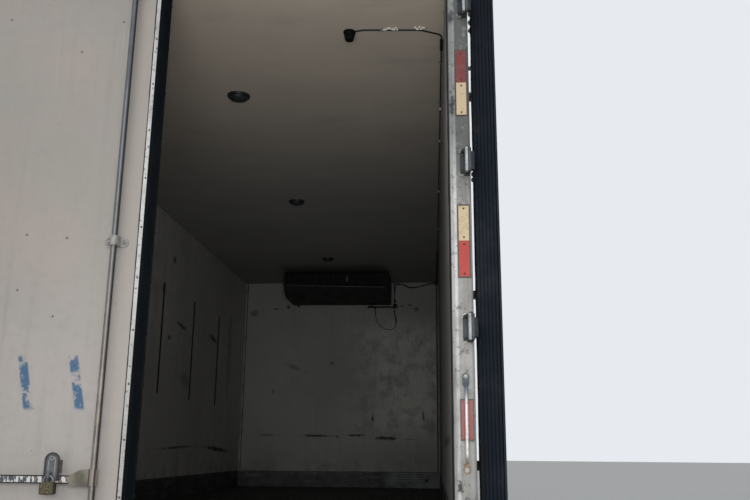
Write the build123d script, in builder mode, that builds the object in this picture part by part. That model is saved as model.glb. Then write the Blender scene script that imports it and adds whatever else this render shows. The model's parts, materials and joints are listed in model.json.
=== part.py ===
"""Insulated box body of a refrigerated truck, modelled the way such a body is built.

Frame: +X right seen from behind, +Y forward to the cab, +Z up, in millimetres. The origin is the
middle of the chassis bolt pattern, level with the underside of the two long sills it stands on.
The left rear door is shut; the right one is folded back along the side wall.
"""

import math
import os

from build123d import *

os.makedirs("parts", exist_ok=True)

# Driving sizes of the insulated box
BOX_WIDTH = 2600.0
WALL = 80.0
ROOF = 80.0
CLEAR_HEIGHT = 2486.0
CLEAR_LENGTH = 6910.0
FLOOR_CORE = 90.0
FLOOR_PLATE = 3.0

# Sub-frame under the floor
SILL_HEIGHT = 120.0
SILL_WIDTH = 60.0
SILL_STEEL = 8.0
SILL_BEND = 5.0
SILL_SPACING = 800.0
SILL_INSET = 160.0
CROSS_HEIGHT = 60.0
CROSS_FLANGE = 45.0
CROSS_STEEL = 5.0
CROSS_COUNT = 12
BOLT_ROWS = (2600.0, 900.0)
BOLT_HOLE = 18.0
FOOT_REACH = 70.0
FOOT_LENGTH = 140.0
FOOT_STEEL = 10.0
FOOT_DROP = 10.0
GUSSET_STEEL = 8.0
GUSSET_HEIGHT = 74.0

# Rear frame
POST_DEPTH = 100.0
POST_CHAMFER = 14.0
POST_ROUND = 12.0
HEADER_ROUND = 6.0
GUTTER_REACH = 60.0
GUTTER_LIP = 12.0
THRESHOLD_HEIGHT = 153.0
SHEET = 3.0
RAIL_LEG = 80.0
BOTTOM_RAIL = 120.0
CORNER_RADIUS = 37.0
CORNER_PLAY = 1.0

# Inside lining
KICK_HEIGHT = 180.0
KICK_SHEET = 3.0
KICK_BEAD = 8.0
ANGLE_LEG = 32.0
ANGLE_SHEET = 2.0

# Doors
DOOR_THICK = 80.0
DOOR_PROUD = 17.0
TRIM_SHEET = 2.0
TRIM_LEG = 20.0
LIP = 12.0
LIP_CLEAR = 6.0
GASKET_BASE = 3.0
FIN_COUNT = 6
FIN_SLOPE = 0.7
BULB_DEPTH = 9.0
BULB_LIP = 5.0
BULB_LEG = 26.0
LEFT_LIP_X = 6.0
RIGHT_LIP_X = 24.0
DOOR_OPEN_ANGLE = 267.2

# Hinges
PIN_INSET = 10.0
PIN_BEHIND = 45.0
PIN_RADIUS = 6.0
PIN_RUNNING = 0.05
KNUCKLE_RADIUS = 12.5
KNUCKLE_LENGTH = 72.0
KNUCKLE_GAP = 0.5
EAR_STEEL = 12.0
EAR_RADIUS = 14.0
CAP_RADIUS = 10.0
CAP_HEIGHT = 7.0
HINGE_PLATE = 5.0
HINGE_PLATE_REACH = 30.0
HINGE_PLATE_OUT = 8.0
HINGE_HEIGHTS = (205.0, 881.0, 1543.0, 2240.0)
STRAP_LENGTH = 280.0
STRAP_HEIGHT = 50.0
STRAP_TAPER = 90.0

# Door locks
ROD_X = 107.0
ROD_RADIUS = 11.5
ROD_RUNNING = 0.3
ROD_OFF_FACE = 30.0
ROD_OVERRUN = 46.0
CAM_TALL = 16.0
CAM_WIDTH = 20.0
CAM_PLAY = 9.0
GUIDE_HEIGHTS = (120.0, 1225.0, 2350.0)
GUIDE_WIDTH = 95.0
GUIDE_TALL = 40.0
GUIDE_FOOT = 4.0
GUIDE_WALL = 6.0
KEEPER_WIDTH = 68.0
KEEPER_TALL = 44.0
KEEPER_AWAY = 18.0
KEEPER_PLAY = 4.0
KEEPER_STEEL = 5.0
KEEPER_MOUTH = 14.0
HANDLE_Z = 316.0
HANDLE_TALL = 30.0
HANDLE_THICK = 6.0
HANDLE_END_X = 590.0
HANDLE_OUT = 13.0
HUB_RADIUS = 16.0
HUB_RISE = 38.0
HUB_FOOT = 22.0
HUB_REACH = 84.0
HUB_SHOULDER = 46.0
HUB_THICK = 20.0
HASP_X = 257.0
HASP_WIDTH = 56.0
HASP_TOP = 413.0
HASP_LOW = 312.0
HASP_STEEL = 4.0
HASP_RIM = 6.0
HASP_EMBOSS = 2.0
HASP_BOSS = 8.0
HASP_OFF_ROD = 24.0
HASP_POST = 30.0
LUG_STEEL = 7.0
LUG_REACH = 24.0
LUG_TALL = 26.0
LUG_ROUND = 8.0
LUG_HOLE_PLAY = 0.6
PADLOCK_WIDTH = 54.0
PADLOCK_TALL = 42.0
PADLOCK_THICK = 22.0
PADLOCK_TOP = 306.0
PADLOCK_OFF = 14.0
PADLOCK_EDGE = 4.0
SHACKLE_TOP = 329.0
SHACKLE_BEND = 17.0
SHACKLE_RADIUS = 4.5

# Fittings on the rear posts: heights above the floor of each reflective plate
PLATE_ROWS = ((1893.0, 2038.0), (1748.0, 1893.0), (1224.0, 1369.0), (1079.0, 1224.0), (469.0, 614.0))
PLATE_INSET = 6.0
PLATE_WIDTH = 46.0
PLATE_THICK = 2.0
PLATE_SPACE = 1.0
PLATE_CORNER = 3.0
GRAB_INSET = 33.0
GRAB_LOW = 388.0
GRAB_HIGH = 674.0
GRAB_RADIUS = 6.0
GRAB_STANDOFF = 40.0
GRAB_RISE = 24.0
GRAB_BEND = 16.0
GRAB_PAD = 4.0
GRAB_PAD_WIDTH = 26.0
GRAB_PAD_LONG = 52.0
BUFFER_INSET = 140.0
BUFFER_WIDTH = 200.0
BUFFER_TALL = 70.0
BUFFER_DEEP = 45.0
BUFFER_ABOVE = 5.0
BUFFER_ROUND = 14.0

# Marker lamps: rear pair, front pair and a row along each bottom rail
MARKER_LONG = 90.0
MARKER_TALL = 30.0
MARKER_DEEP = 18.0
MARKER_ROUND = 8.0
MARKER_INSET = 100.0
MARKER_ABOVE = 26.0
MARKER_BELOW = 44.0
MARKER_SIDE_COUNT = 4
MARKER_SIDE_PLACE = 700.0

# Ceiling fittings: distances from the rear face of the posts, and from the bulkhead
LAMP_PLACE = 1340.0
LAMP_LAST = 1350.0
LAMP_COUNT = 3
LAMP_RADIUS = 68.0
LAMP_RIM = 14.0
LAMP_DROP = 22.0
CAMERA_INSET = 480.0
CAMERA_PLACE = 622.0
CAMERA_RADIUS = 31.0
CAMERA_FOOT = 21.0
CAMERA_DROP = 50.0
CAMERA_ROUND = 7.0
CAMERA_FLANGE = 5.0
CAMERA_EYE = 11.0
CAMERA_HOOD = 30.0
CABLE_RADIUS = 4.0
CABLE_OFF = 0.3
CABLE_WALL_GAP = 15.0
CABLE_BEND = 45.0
CABLE_START = 40.0
CABLE_ROW = 602.0
CABLE_DRIFT = 16.0
CABLE_TURN = 105.0
CABLE_FALL = 70.0
SLEEVE_PLACE = 720.0
SLEEVE_LONG = 105.0
SLEEVE_WIDE = 17.0
SLEEVE_TALL = 14.0
SLEEVE_ROUND = 5.0
CLIP_COUNT = 9
CLIP_WALL = 2.0
CLIP_WIDTH = 12.0
CLIP_EAR = 9.0
CLIP_FIRST = 150.0
CLIP_CROSS = 95.0
TRUNK_LONG = 1640.0
TRUNK_WIDE = 27.0
TRUNK_DROP = 24.0
JUNCTION_LONG = 70.0
JUNCTION_WIDE = 43.0
JUNCTION_DROP = 38.0
JUNCTION_ROUND = 6.0

# Tie strips on the left wall
STRIP_PLACES = (3800.0, 4730.0, 5680.0)
STRIP_WIDTH = 26.0
STRIP_LOW = 890.0
STRIP_HIGH = 1860.0
STRIP_THICK = 6.0
STRIP_GROOVE = 10.0

# Evaporator under the ceiling at the bulkhead
EVAP_WIDTH = 1250.0
EVAP_SHIFT = 10.0
EVAP_DEPTH = 690.0
EVAP_DROP = 285.0
EVAP_OUTLET = 150.0
EVAP_BACKSET = 150.0
EVAP_SIDE_TAPER = 14.0
EVAP_FRAME = 26.0
EVAP_RECESS = 70.0
EVAP_SHELL_LIP = 10.0
EVAP_VANES = 17
VANE_STEEL = 3.0
VANE_DEEP = 40.0
SPOUT_RADIUS = 14.0
SPOUT_DROP = 36.0
SPOUT_INSET = 90.0
GLAND_RADIUS = 11.0
GLAND_LONG = 16.0
LEAD_RADIUS = 5.5
CONDUIT_RADIUS = 10.0
CONDUIT_OFF = 4.0
CONDUIT_BELOW = 27.0
CONDUIT_LONG = 300.0
CONDUIT_PAST = 40.0
GLAND_INSET = 98.0
RISER_AWAY = 39.0
TIE_DOWN = 12.0
TIE_TALL = 18.0
TIE_DEEP = 26.0
TIE_PAST = 16.0
TIE_LONG = 72.0

# Routes of the two free leads: the loop as offsets from its left gland, the slack one as shares of its span
LOOP_RADIUS = 3.5
LOOP_ROUTE = (
    (0.0, 0.0, 0.0),
    (0.0, 0.0, -44.0),
    (10.0, -4.0, -108.0),
    (28.0, -7.0, -170.0),
    (64.0, -5.0, -222.0),
    (120.0, -3.0, -256.0),
    (187.0, -2.0, -266.0),
    (241.0, -3.0, -244.0),
    (265.0, -5.0, -190.0),
    (258.0, -4.0, -112.0),
)
LOOP_LAST = 50.0
SLACK_ROUTE = (
    (0.0, 33.0, 20.0),
    (0.10, 33.0, 20.0),
    (0.27, 28.0, 36.0),
    (0.46, 18.0, 60.0),
    (0.65, 8.0, 71.0),
    (0.80, 3.0, 56.0),
    (0.90, 0.0, 22.0),
    (1.0, 0.0, 22.0),
)

# Condensing unit on the outside of the front wall
UNIT_WIDTH = 1700.0
UNIT_HEIGHT = 560.0
UNIT_DEPTH = 430.0
UNIT_TOP_GAP = 90.0
UNIT_SHELL = 5.0
UNIT_ROUND = 70.0
COIL_INSET = 60.0
COIL_GAP = 40.0
COIL_DEPTH = 70.0
FAN_X = 400.0
FAN_RADIUS = 190.0
FAN_TIP_GAP = 12.0
FAN_SETBACK = 60.0
FAN_HUB = 52.0
FAN_HUB_LONG = 52.0
FAN_BLADES = 5
FAN_BORE_PLAY = 0.05
BLADE_ROOT = 76.0
BLADE_TIP = 124.0
BLADE_THICK = 4.0
SHAFT_RADIUS = 8.0
MOTOR_RADIUS = 48.0
MOTOR_GAP = 60.0
SHROUD_STEEL = 3.0
SHROUD_DEPTH = 78.0
SHROUD_FLARE = 14.0
SHROUD_FLANGE = 7.0
GUARD_BAR = 5.0
GUARD_RINGS = 4
GUARD_HUB = 30.0
GUARD_RIM = 24.0
GUARD_SPOKES = 6
LOUVRE_COUNT = 6
LOUVRE_PITCH = 42.0
LOUVRE_TALL = 22.0
LOUVRE_PROUD = 12.0
LOUVRE_LONG = 210.0
LOUVRE_PLACE = 60.0

# Levels and faces worked out from the sizes above
half_width = BOX_WIDTH / 2
inner_x = half_width - WALL
outer_x = half_width + SHEET
pin_x = half_width - PIN_INSET
z_cross = SILL_HEIGHT
z_panel = SILL_HEIGHT + CROSS_HEIGHT
z_floor = z_panel + FLOOR_CORE + FLOOR_PLATE
z_ceiling = z_floor + CLEAR_HEIGHT
z_top = z_ceiling + ROOF
y_rear = -(CLEAR_LENGTH + WALL) / 2
y_bulkhead = y_rear + CLEAR_LENGTH
y_front = y_bulkhead + WALL
y_wall = y_rear + POST_DEPTH
pin_y = y_rear - PIN_BEHIND
door_face = y_rear - DOOR_PROUD
trim_face = door_face - TRIM_SHEET
door_inner = door_face + DOOR_THICK
rod_y = trim_face - ROD_OFF_FACE


def save(part, name):
    """Labels a finished piece and writes it to its own file."""
    part.label = name
    export_step(part, f"parts/{name}.step")


def block(x_pair, y_pair, z_pair, mode=Mode.ADD):
    """A straight-sided block between two corners, in the part that is being built."""
    (x0, x1), (y0, y1), (z0, z1) = x_pair, y_pair, z_pair
    with Locations(((x0 + x1) / 2, (y0 + y1) / 2, (z0 + z1) / 2)):
        Box(abs(x1 - x0), abs(y1 - y0), abs(z1 - z0), mode=mode)


def prism(points, plane, length, mode=Mode.ADD):
    """A closed outline drawn on a plane and drawn out along its normal."""
    with BuildSketch(plane) as outline:
        with BuildLine():
            Polyline(*points, close=True)
        make_face()
    extrude(outline.sketch, amount=length, mode=mode)


def both_sides():
    """The two sides of the body: -1 on the left, 1 on the right."""
    return (-1, 1)


# Insulated panels, their outer edges rounded to sit inside the edge rails
panel_round = CORNER_RADIUS + CORNER_PLAY
with BuildPart() as floor_panel:
    block((-half_width, half_width), (y_wall, y_front), (z_panel, z_panel + FLOOR_CORE))
    fillet(floor_panel.edges().filter_by(Axis.Z).group_by(Axis.Y)[-1], panel_round)
save(floor_panel.part, "floor_panel")

with BuildPart() as floor_plate:
    block((-inner_x, inner_x), (y_wall, y_bulkhead), (z_floor - FLOOR_PLATE, z_floor))
save(floor_plate.part, "floor_plate")

for side, name in ((-1, "side_wall_left"), (1, "side_wall_right")):
    with BuildPart() as side_wall:
        block((side * inner_x, side * half_width), (y_wall, y_front), (z_panel + FLOOR_CORE, z_ceiling))
        front_edges = side_wall.edges().filter_by(Axis.Z).group_by(Axis.Y)[-1].sort_by(Axis.X)
        fillet(front_edges[-1] if side > 0 else front_edges[0], panel_round)
    save(side_wall.part, name)

with BuildPart() as roof_panel:
    block((-half_width, half_width), (y_wall, y_front), (z_ceiling, z_top))
    roof_edges = roof_panel.faces().sort_by(Axis.Z)[-1].edges().sort_by(Axis.Y)[1:]
    fillet(roof_edges + roof_panel.edges().filter_by(Axis.Z).group_by(Axis.Y)[-1], panel_round)
save(roof_panel.part, "roof_panel")

with BuildPart() as front_wall:
    block((-inner_x, inner_x), (y_bulkhead, y_front), (z_panel + FLOOR_CORE, z_ceiling))
save(front_wall.part, "front_wall")

# Rear frame: folded steel posts, header with its rain gutter, and threshold
for side, name in ((-1, "rear_post_left"), (1, "rear_post_right")):
    with BuildPart() as rear_post:
        prism(
            [
                (side * inner_x, y_rear + POST_CHAMFER),
                (side * (inner_x + POST_CHAMFER), y_rear),
                (side * outer_x, y_rear),
                (side * outer_x, y_wall),
                (side * inner_x, y_wall),
            ],
            Plane.XY.offset(z_floor),
            z_top - z_floor,
        )
        rear_edges = rear_post.edges().filter_by(Axis.Z).group_by(Axis.Y)[0].sort_by(Axis.X)
        fillet(rear_edges[-1] if side > 0 else rear_edges[0], POST_ROUND)
    save(rear_post.part, name)

with BuildPart() as rear_header:
    gutter_foot = z_top - GUTTER_LIP
    prism(
        [
            (y_rear + POST_CHAMFER, z_ceiling),
            (y_wall, z_ceiling),
            (y_wall, z_top),
            (y_rear - GUTTER_REACH, z_top),
            (y_rear - GUTTER_REACH, gutter_foot),
            (y_rear - GUTTER_REACH + SHEET, gutter_foot),
            (y_rear - GUTTER_REACH + SHEET, z_top - SHEET),
            (y_rear, z_top - SHEET),
            (y_rear, z_ceiling + POST_CHAMFER),
        ],
        Plane.YZ.offset(-inner_x),
        2 * inner_x,
    )
save(rear_header.part, "rear_header")

with BuildPart() as rear_threshold:
    block((-outer_x, outer_x), (y_rear, y_wall), (z_floor - THRESHOLD_HEIGHT, z_floor))
    fillet(rear_threshold.edges().filter_by(Axis.Z).group_by(Axis.Y)[0], POST_ROUND)
    chamfer(rear_threshold.edges().filter_by(Axis.X).group_by(Axis.Z)[0].sort_by(Axis.Y)[0], HEADER_ROUND)
save(rear_threshold.part, "rear_threshold")

# Edge rails: one rounded skin over the long top edges, the front corners and the bottom edges
with BuildPart() as rail_core:
    block((-half_width, half_width), (y_wall - 1.0, y_front), (z_panel - 1.0, z_top))
    core_edges = rail_core.faces().sort_by(Axis.Z)[-1].edges().sort_by(Axis.Y)[1:]
    fillet(core_edges + rail_core.edges().filter_by(Axis.Z).group_by(Axis.Y)[-1], CORNER_RADIUS)

with BuildPart() as edge_profiles:
    block((-outer_x, outer_x), (y_wall, y_front + SHEET), (z_panel, z_top + SHEET))
    skin_edges = edge_profiles.faces().sort_by(Axis.Z)[-1].edges().sort_by(Axis.Y)[1:]
    fillet(skin_edges + edge_profiles.edges().filter_by(Axis.Z).group_by(Axis.Y)[-1], CORNER_RADIUS + SHEET)
    add(rail_core.part, mode=Mode.SUBTRACT)
    leg_x, leg_y = half_width - RAIL_LEG, y_front - RAIL_LEG
    leg_z, rail_z = z_top - RAIL_LEG, z_panel + BOTTOM_RAIL
    block((-leg_x, leg_x), (y_wall - 1.0, leg_y), (z_top - 1.0, z_top + SHEET + 1.0), Mode.SUBTRACT)
    block((-outer_x - 1.0, outer_x + 1.0), (y_wall - 1.0, leg_y), (rail_z, leg_z), Mode.SUBTRACT)
    block((-leg_x, leg_x), (leg_y, y_front + SHEET + 1.0), (z_panel - 1.0, leg_z), Mode.SUBTRACT)
save(edge_profiles.part, "edge_profiles")

# Lining: kick plates with a top bead along three walls, angles in the bulkhead corners
with BuildPart() as kick_plates:
    kick_top = z_floor + KICK_HEIGHT
    for low, proud in ((z_floor, KICK_SHEET), (kick_top - KICK_BEAD, KICK_BEAD)):
        for side in both_sides():
            block((side * inner_x, side * (inner_x - proud)), (y_wall, y_bulkhead), (low, kick_top))
        block((-inner_x, inner_x), (y_bulkhead - proud, y_bulkhead), (low, kick_top))
save(kick_plates.part, "kick_plates")

with BuildPart() as corner_angles:
    for side in both_sides():
        wall_x, edge_x = side * inner_x, side * (inner_x - ANGLE_LEG)
        skin_x = side * (inner_x - ANGLE_SHEET)
        prism(
            [
                (wall_x, y_bulkhead),
                (edge_x, y_bulkhead),
                (edge_x, y_bulkhead - ANGLE_SHEET),
                (skin_x, y_bulkhead - ANGLE_SHEET),
                (skin_x, y_bulkhead - ANGLE_LEG),
                (wall_x, y_bulkhead - ANGLE_LEG),
            ],
            Plane.XY.offset(z_floor + KICK_HEIGHT),
            CLEAR_HEIGHT - KICK_HEIGHT,
        )
save(corner_angles.part, "corner_angles")

# Tie strips: flat rails with a groove down the middle
with BuildPart() as wall_strips:
    for place in STRIP_PLACES:
        middle = y_rear + place
        span = (middle - STRIP_WIDTH / 2, middle + STRIP_WIDTH / 2)
        groove = (middle - STRIP_GROOVE / 2, middle + STRIP_GROOVE / 2)
        heights = (z_floor + STRIP_LOW, z_floor + STRIP_HIGH)
        block((-inner_x, -inner_x + STRIP_THICK), span, heights)
        block((-inner_x + STRIP_THICK / 2, -inner_x + STRIP_THICK), groove, heights, Mode.SUBTRACT)
save(wall_strips.part, "wall_strips")

# Sub-frame: two long folded sills, cross members, and gusseted feet bolted to the chassis
sill_web = (SILL_SPACING + SILL_WIDTH) / 2
for side, name in ((-1, "sill_left"), (1, "sill_right")):
    web, lip = side * sill_web, side * (SILL_SPACING - SILL_WIDTH) / 2
    inside = web - side * SILL_STEEL
    with BuildPart() as sill:
        with BuildSketch(Plane.XZ.offset(-(y_rear + SILL_INSET))) as channel:
            with BuildLine():
                Polyline(
                    (web, 0),
                    (lip, 0),
                    (lip, SILL_STEEL),
                    (inside, SILL_STEEL),
                    (inside, SILL_HEIGHT - SILL_STEEL),
                    (lip, SILL_HEIGHT - SILL_STEEL),
                    (lip, SILL_HEIGHT),
                    (web, SILL_HEIGHT),
                    close=True,
                )
            make_face()
            outward = channel.vertices().group_by(Axis.X)
            bends = (outward[-1], outward[-2]) if side > 0 else (outward[0], outward[1])
            fillet(bends[0], SILL_BEND + SILL_STEEL)
            fillet(bends[1], SILL_BEND)
        extrude(amount=-(CLEAR_LENGTH + WALL - 2 * SILL_INSET))
    save(sill.part, name)

cross_pitch = (CLEAR_LENGTH + WALL - 2 * SILL_INSET - CROSS_FLANGE) / (CROSS_COUNT - 1)
with BuildPart() as cross_members:
    for number in range(CROSS_COUNT):
        back = y_rear + SILL_INSET + number * cross_pitch
        prism(
            [
                (back, z_cross),
                (back + CROSS_FLANGE, z_cross),
                (back + CROSS_FLANGE, z_cross + CROSS_STEEL),
                (back + CROSS_STEEL, z_cross + CROSS_STEEL),
                (back + CROSS_STEEL, z_panel - CROSS_STEEL),
                (back + CROSS_FLANGE, z_panel - CROSS_STEEL),
                (back + CROSS_FLANGE, z_panel),
                (back, z_panel),
            ],
            Plane.YZ.offset(-inner_x),
            2 * inner_x,
        )
save(cross_members.part, "cross_members")

foot_x = sill_web + FOOT_REACH / 2 + FOOT_STEEL / 2
foot_wall = sill_web + FOOT_STEEL
with BuildPart() as chassis_feet:
    for side in both_sides():
        for row in BOLT_ROWS:
            for end in both_sides():
                span = (end * row - FOOT_LENGTH / 2, end * row + FOOT_LENGTH / 2)
                block((side * sill_web, side * foot_wall), span, (0, SILL_HEIGHT - FOOT_DROP))
                block((side * sill_web, side * (foot_wall + FOOT_REACH)), span, (0, FOOT_STEEL))
                for rib in (span[0], span[1] - GUSSET_STEEL):
                    prism(
                        [
                            (side * foot_wall, FOOT_STEEL),
                            (side * (foot_wall + FOOT_REACH - GUSSET_STEEL), FOOT_STEEL),
                            (side * foot_wall, FOOT_STEEL + GUSSET_HEIGHT),
                        ],
                        Plane.XZ.offset(-rib),
                        -GUSSET_STEEL,
                    )
                with Locations((side * foot_x, end * row, FOOT_STEEL / 2)):
                    Cylinder(BOLT_HOLE / 2, FOOT_STEEL, mode=Mode.SUBTRACT)
save(chassis_feet.part, "chassis_feet")

# Reflective plates and grab handles on the posts
plate_outer = half_width - PLATE_INSET
with BuildPart() as reflective_plates:
    for side in both_sides():
        for low, high in PLATE_ROWS:
            block(
                (side * (plate_outer - PLATE_WIDTH), side * plate_outer),
                (y_rear - PLATE_THICK, y_rear),
                (z_floor + low + PLATE_SPACE / 2, z_floor + high - PLATE_SPACE / 2),
            )
    fillet(reflective_plates.edges().filter_by(Axis.Y), PLATE_CORNER)
save(reflective_plates.part, "reflective_plates")

grab_x = half_width - GRAB_INSET
grab_out = y_rear - GRAB_STANDOFF
grab_foot = y_rear - GRAB_PAD
for side, name in ((-1, "grab_handle_left"), (1, "grab_handle_right")):
    with BuildPart() as grab_handle:
        with BuildLine() as grab_line:
            FilletPolyline(
                (side * grab_x, grab_foot, z_floor + GRAB_LOW),
                (side * grab_x, grab_out, z_floor + GRAB_LOW + GRAB_RISE),
                (side * grab_x, grab_out, z_floor + GRAB_HIGH - GRAB_RISE),
                (side * grab_x, grab_foot, z_floor + GRAB_HIGH),
                radius=GRAB_BEND,
            )
        with BuildSketch(grab_line.line ^ 0):
            Circle(GRAB_RADIUS)
        sweep()
        with BuildSketch(Plane.XZ.offset(-y_rear)) as pads:
            pad_shift = (GRAB_PAD_LONG - GRAB_PAD_WIDTH) / 2
            pad_levels = (z_floor + GRAB_LOW - pad_shift, z_floor + GRAB_HIGH + pad_shift)
            with Locations(*[(side * grab_x, level) for level in pad_levels]):
                SlotOverall(GRAB_PAD_LONG, GRAB_PAD_WIDTH, rotation=90)
        extrude(pads.sketch, amount=GRAB_PAD)
    save(grab_handle.part, name)

# Hinge brackets on the posts: a plate, two ears round the pin, the pin and its caps
ear_foot = KNUCKLE_LENGTH / 2 + KNUCKLE_GAP
ear_top = ear_foot + EAR_STEEL
for side, name in ((-1, "post_hinges_left"), (1, "post_hinges_right")):
    pin_side, plate_back = side * pin_x, y_rear - HINGE_PLATE
    plate_in, plate_out = side * (pin_x - HINGE_PLATE_REACH), side * (pin_x + HINGE_PLATE_OUT)
    with BuildPart() as bracket:
        block((plate_in, plate_out), (plate_back, y_rear), (-ear_top - HINGE_PLATE, ear_top + HINGE_PLATE))
        for low in (-ear_top, ear_foot):
            with BuildSketch(Plane.XY.offset(low)) as ear:
                with BuildLine():
                    Polyline(
                        (pin_side - side * EAR_RADIUS, pin_y),
                        (plate_in, plate_back),
                        (plate_out, plate_back),
                        (pin_side + side * EAR_RADIUS, pin_y),
                        close=True,
                    )
                make_face()
                with Locations((pin_side, pin_y)):
                    Circle(EAR_RADIUS)
            extrude(ear.sketch, amount=EAR_STEEL)
        with Locations((pin_side, pin_y, 0)):
            Cylinder(PIN_RADIUS, 2 * ear_top)
        with Locations((pin_side, pin_y, ear_top), Location((pin_side, pin_y, -ear_top), (180, 0, 0))):
            Cone(CAP_RADIUS, CAP_RADIUS - 4.0, CAP_HEIGHT, align=(Align.CENTER, Align.CENTER, Align.MIN))
    with BuildPart() as post_hinges:
        with Locations(*[(0, 0, z_floor + height) for height in HINGE_HEIGHTS]):
            add(bracket.part)
    save(post_hinges.part, name)

# Keepers for the ends of the lock rods, open to the rear with flared cheeks
keeper_half = ROD_RADIUS + KEEPER_PLAY
mouth = rod_y - KEEPER_MOUTH
keeper_lows = (z_ceiling + KEEPER_AWAY, z_floor - KEEPER_AWAY - KEEPER_TALL)
with BuildPart() as lock_keepers:
    for side in both_sides():
        for low in keeper_lows:
            with BuildSketch(Plane.XY.offset(low)) as keeper:
                with Locations((side * ROD_X, y_rear - KEEPER_STEEL / 2)):
                    Rectangle(KEEPER_WIDTH, KEEPER_STEEL)
                for cheek in both_sides():
                    near = side * ROD_X + cheek * keeper_half
                    steel = cheek * KEEPER_STEEL
                    with BuildLine():
                        Polyline(
                            (near, y_rear),
                            (near, rod_y),
                            (near + steel, mouth),
                            (near + 2 * steel, mouth),
                            (near + steel, rod_y),
                            (near + steel, y_rear),
                            close=True,
                        )
                    make_face()
            extrude(keeper.sketch, amount=KEEPER_TALL)
save(lock_keepers.part, "lock_keepers")

# Rubber buffers on the threshold
with BuildPart() as rubber_buffers:
    buffer_low = z_floor - THRESHOLD_HEIGHT + BUFFER_ABOVE
    buffer_out = half_width - BUFFER_INSET
    for side in both_sides():
        block(
            (side * (buffer_out - BUFFER_WIDTH), side * buffer_out),
            (y_rear - BUFFER_DEEP, y_rear),
            (buffer_low, buffer_low + BUFFER_TALL),
        )
    fillet(rubber_buffers.edges().group_by(Axis.Y)[0], BUFFER_ROUND)
save(rubber_buffers.part, "rubber_buffers")

# Marker lamps on the header, the front top rail and the bottom rails
with BuildPart() as marker:
    Box(MARKER_LONG, MARKER_TALL, MARKER_DEEP, align=(Align.CENTER, Align.CENTER, Align.MIN))
    fillet(marker.edges().group_by(Axis.Z)[-1], MARKER_ROUND)

marker_x = half_width - MARKER_INSET - MARKER_LONG / 2
marker_step = (CLEAR_LENGTH + WALL - 2 * MARKER_SIDE_PLACE) / (MARKER_SIDE_COUNT - 1)
marker_seats = []
for side in both_sides():
    above = z_ceiling + MARKER_ABOVE + MARKER_TALL / 2
    below = z_top - MARKER_BELOW - MARKER_TALL / 2
    marker_seats.append(Plane((side * marker_x, y_rear, above), x_dir=(1, 0, 0), z_dir=(0, -1, 0)))
    marker_seats.append(Plane((side * marker_x, y_front + SHEET, below), x_dir=(1, 0, 0), z_dir=(0, 1, 0)))
    for number in range(MARKER_SIDE_COUNT):
        along = y_rear + MARKER_SIDE_PLACE + number * marker_step
        seat = (side * outer_x, along, z_panel + BOTTOM_RAIL / 2)
        marker_seats.append(Plane(seat, x_dir=(0, 1, 0), z_dir=(side, 0, 0)))
with BuildPart() as marker_lamps:
    with Locations(*marker_seats):
        add(marker.part)
save(marker_lamps.part, "marker_lamps")


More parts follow.
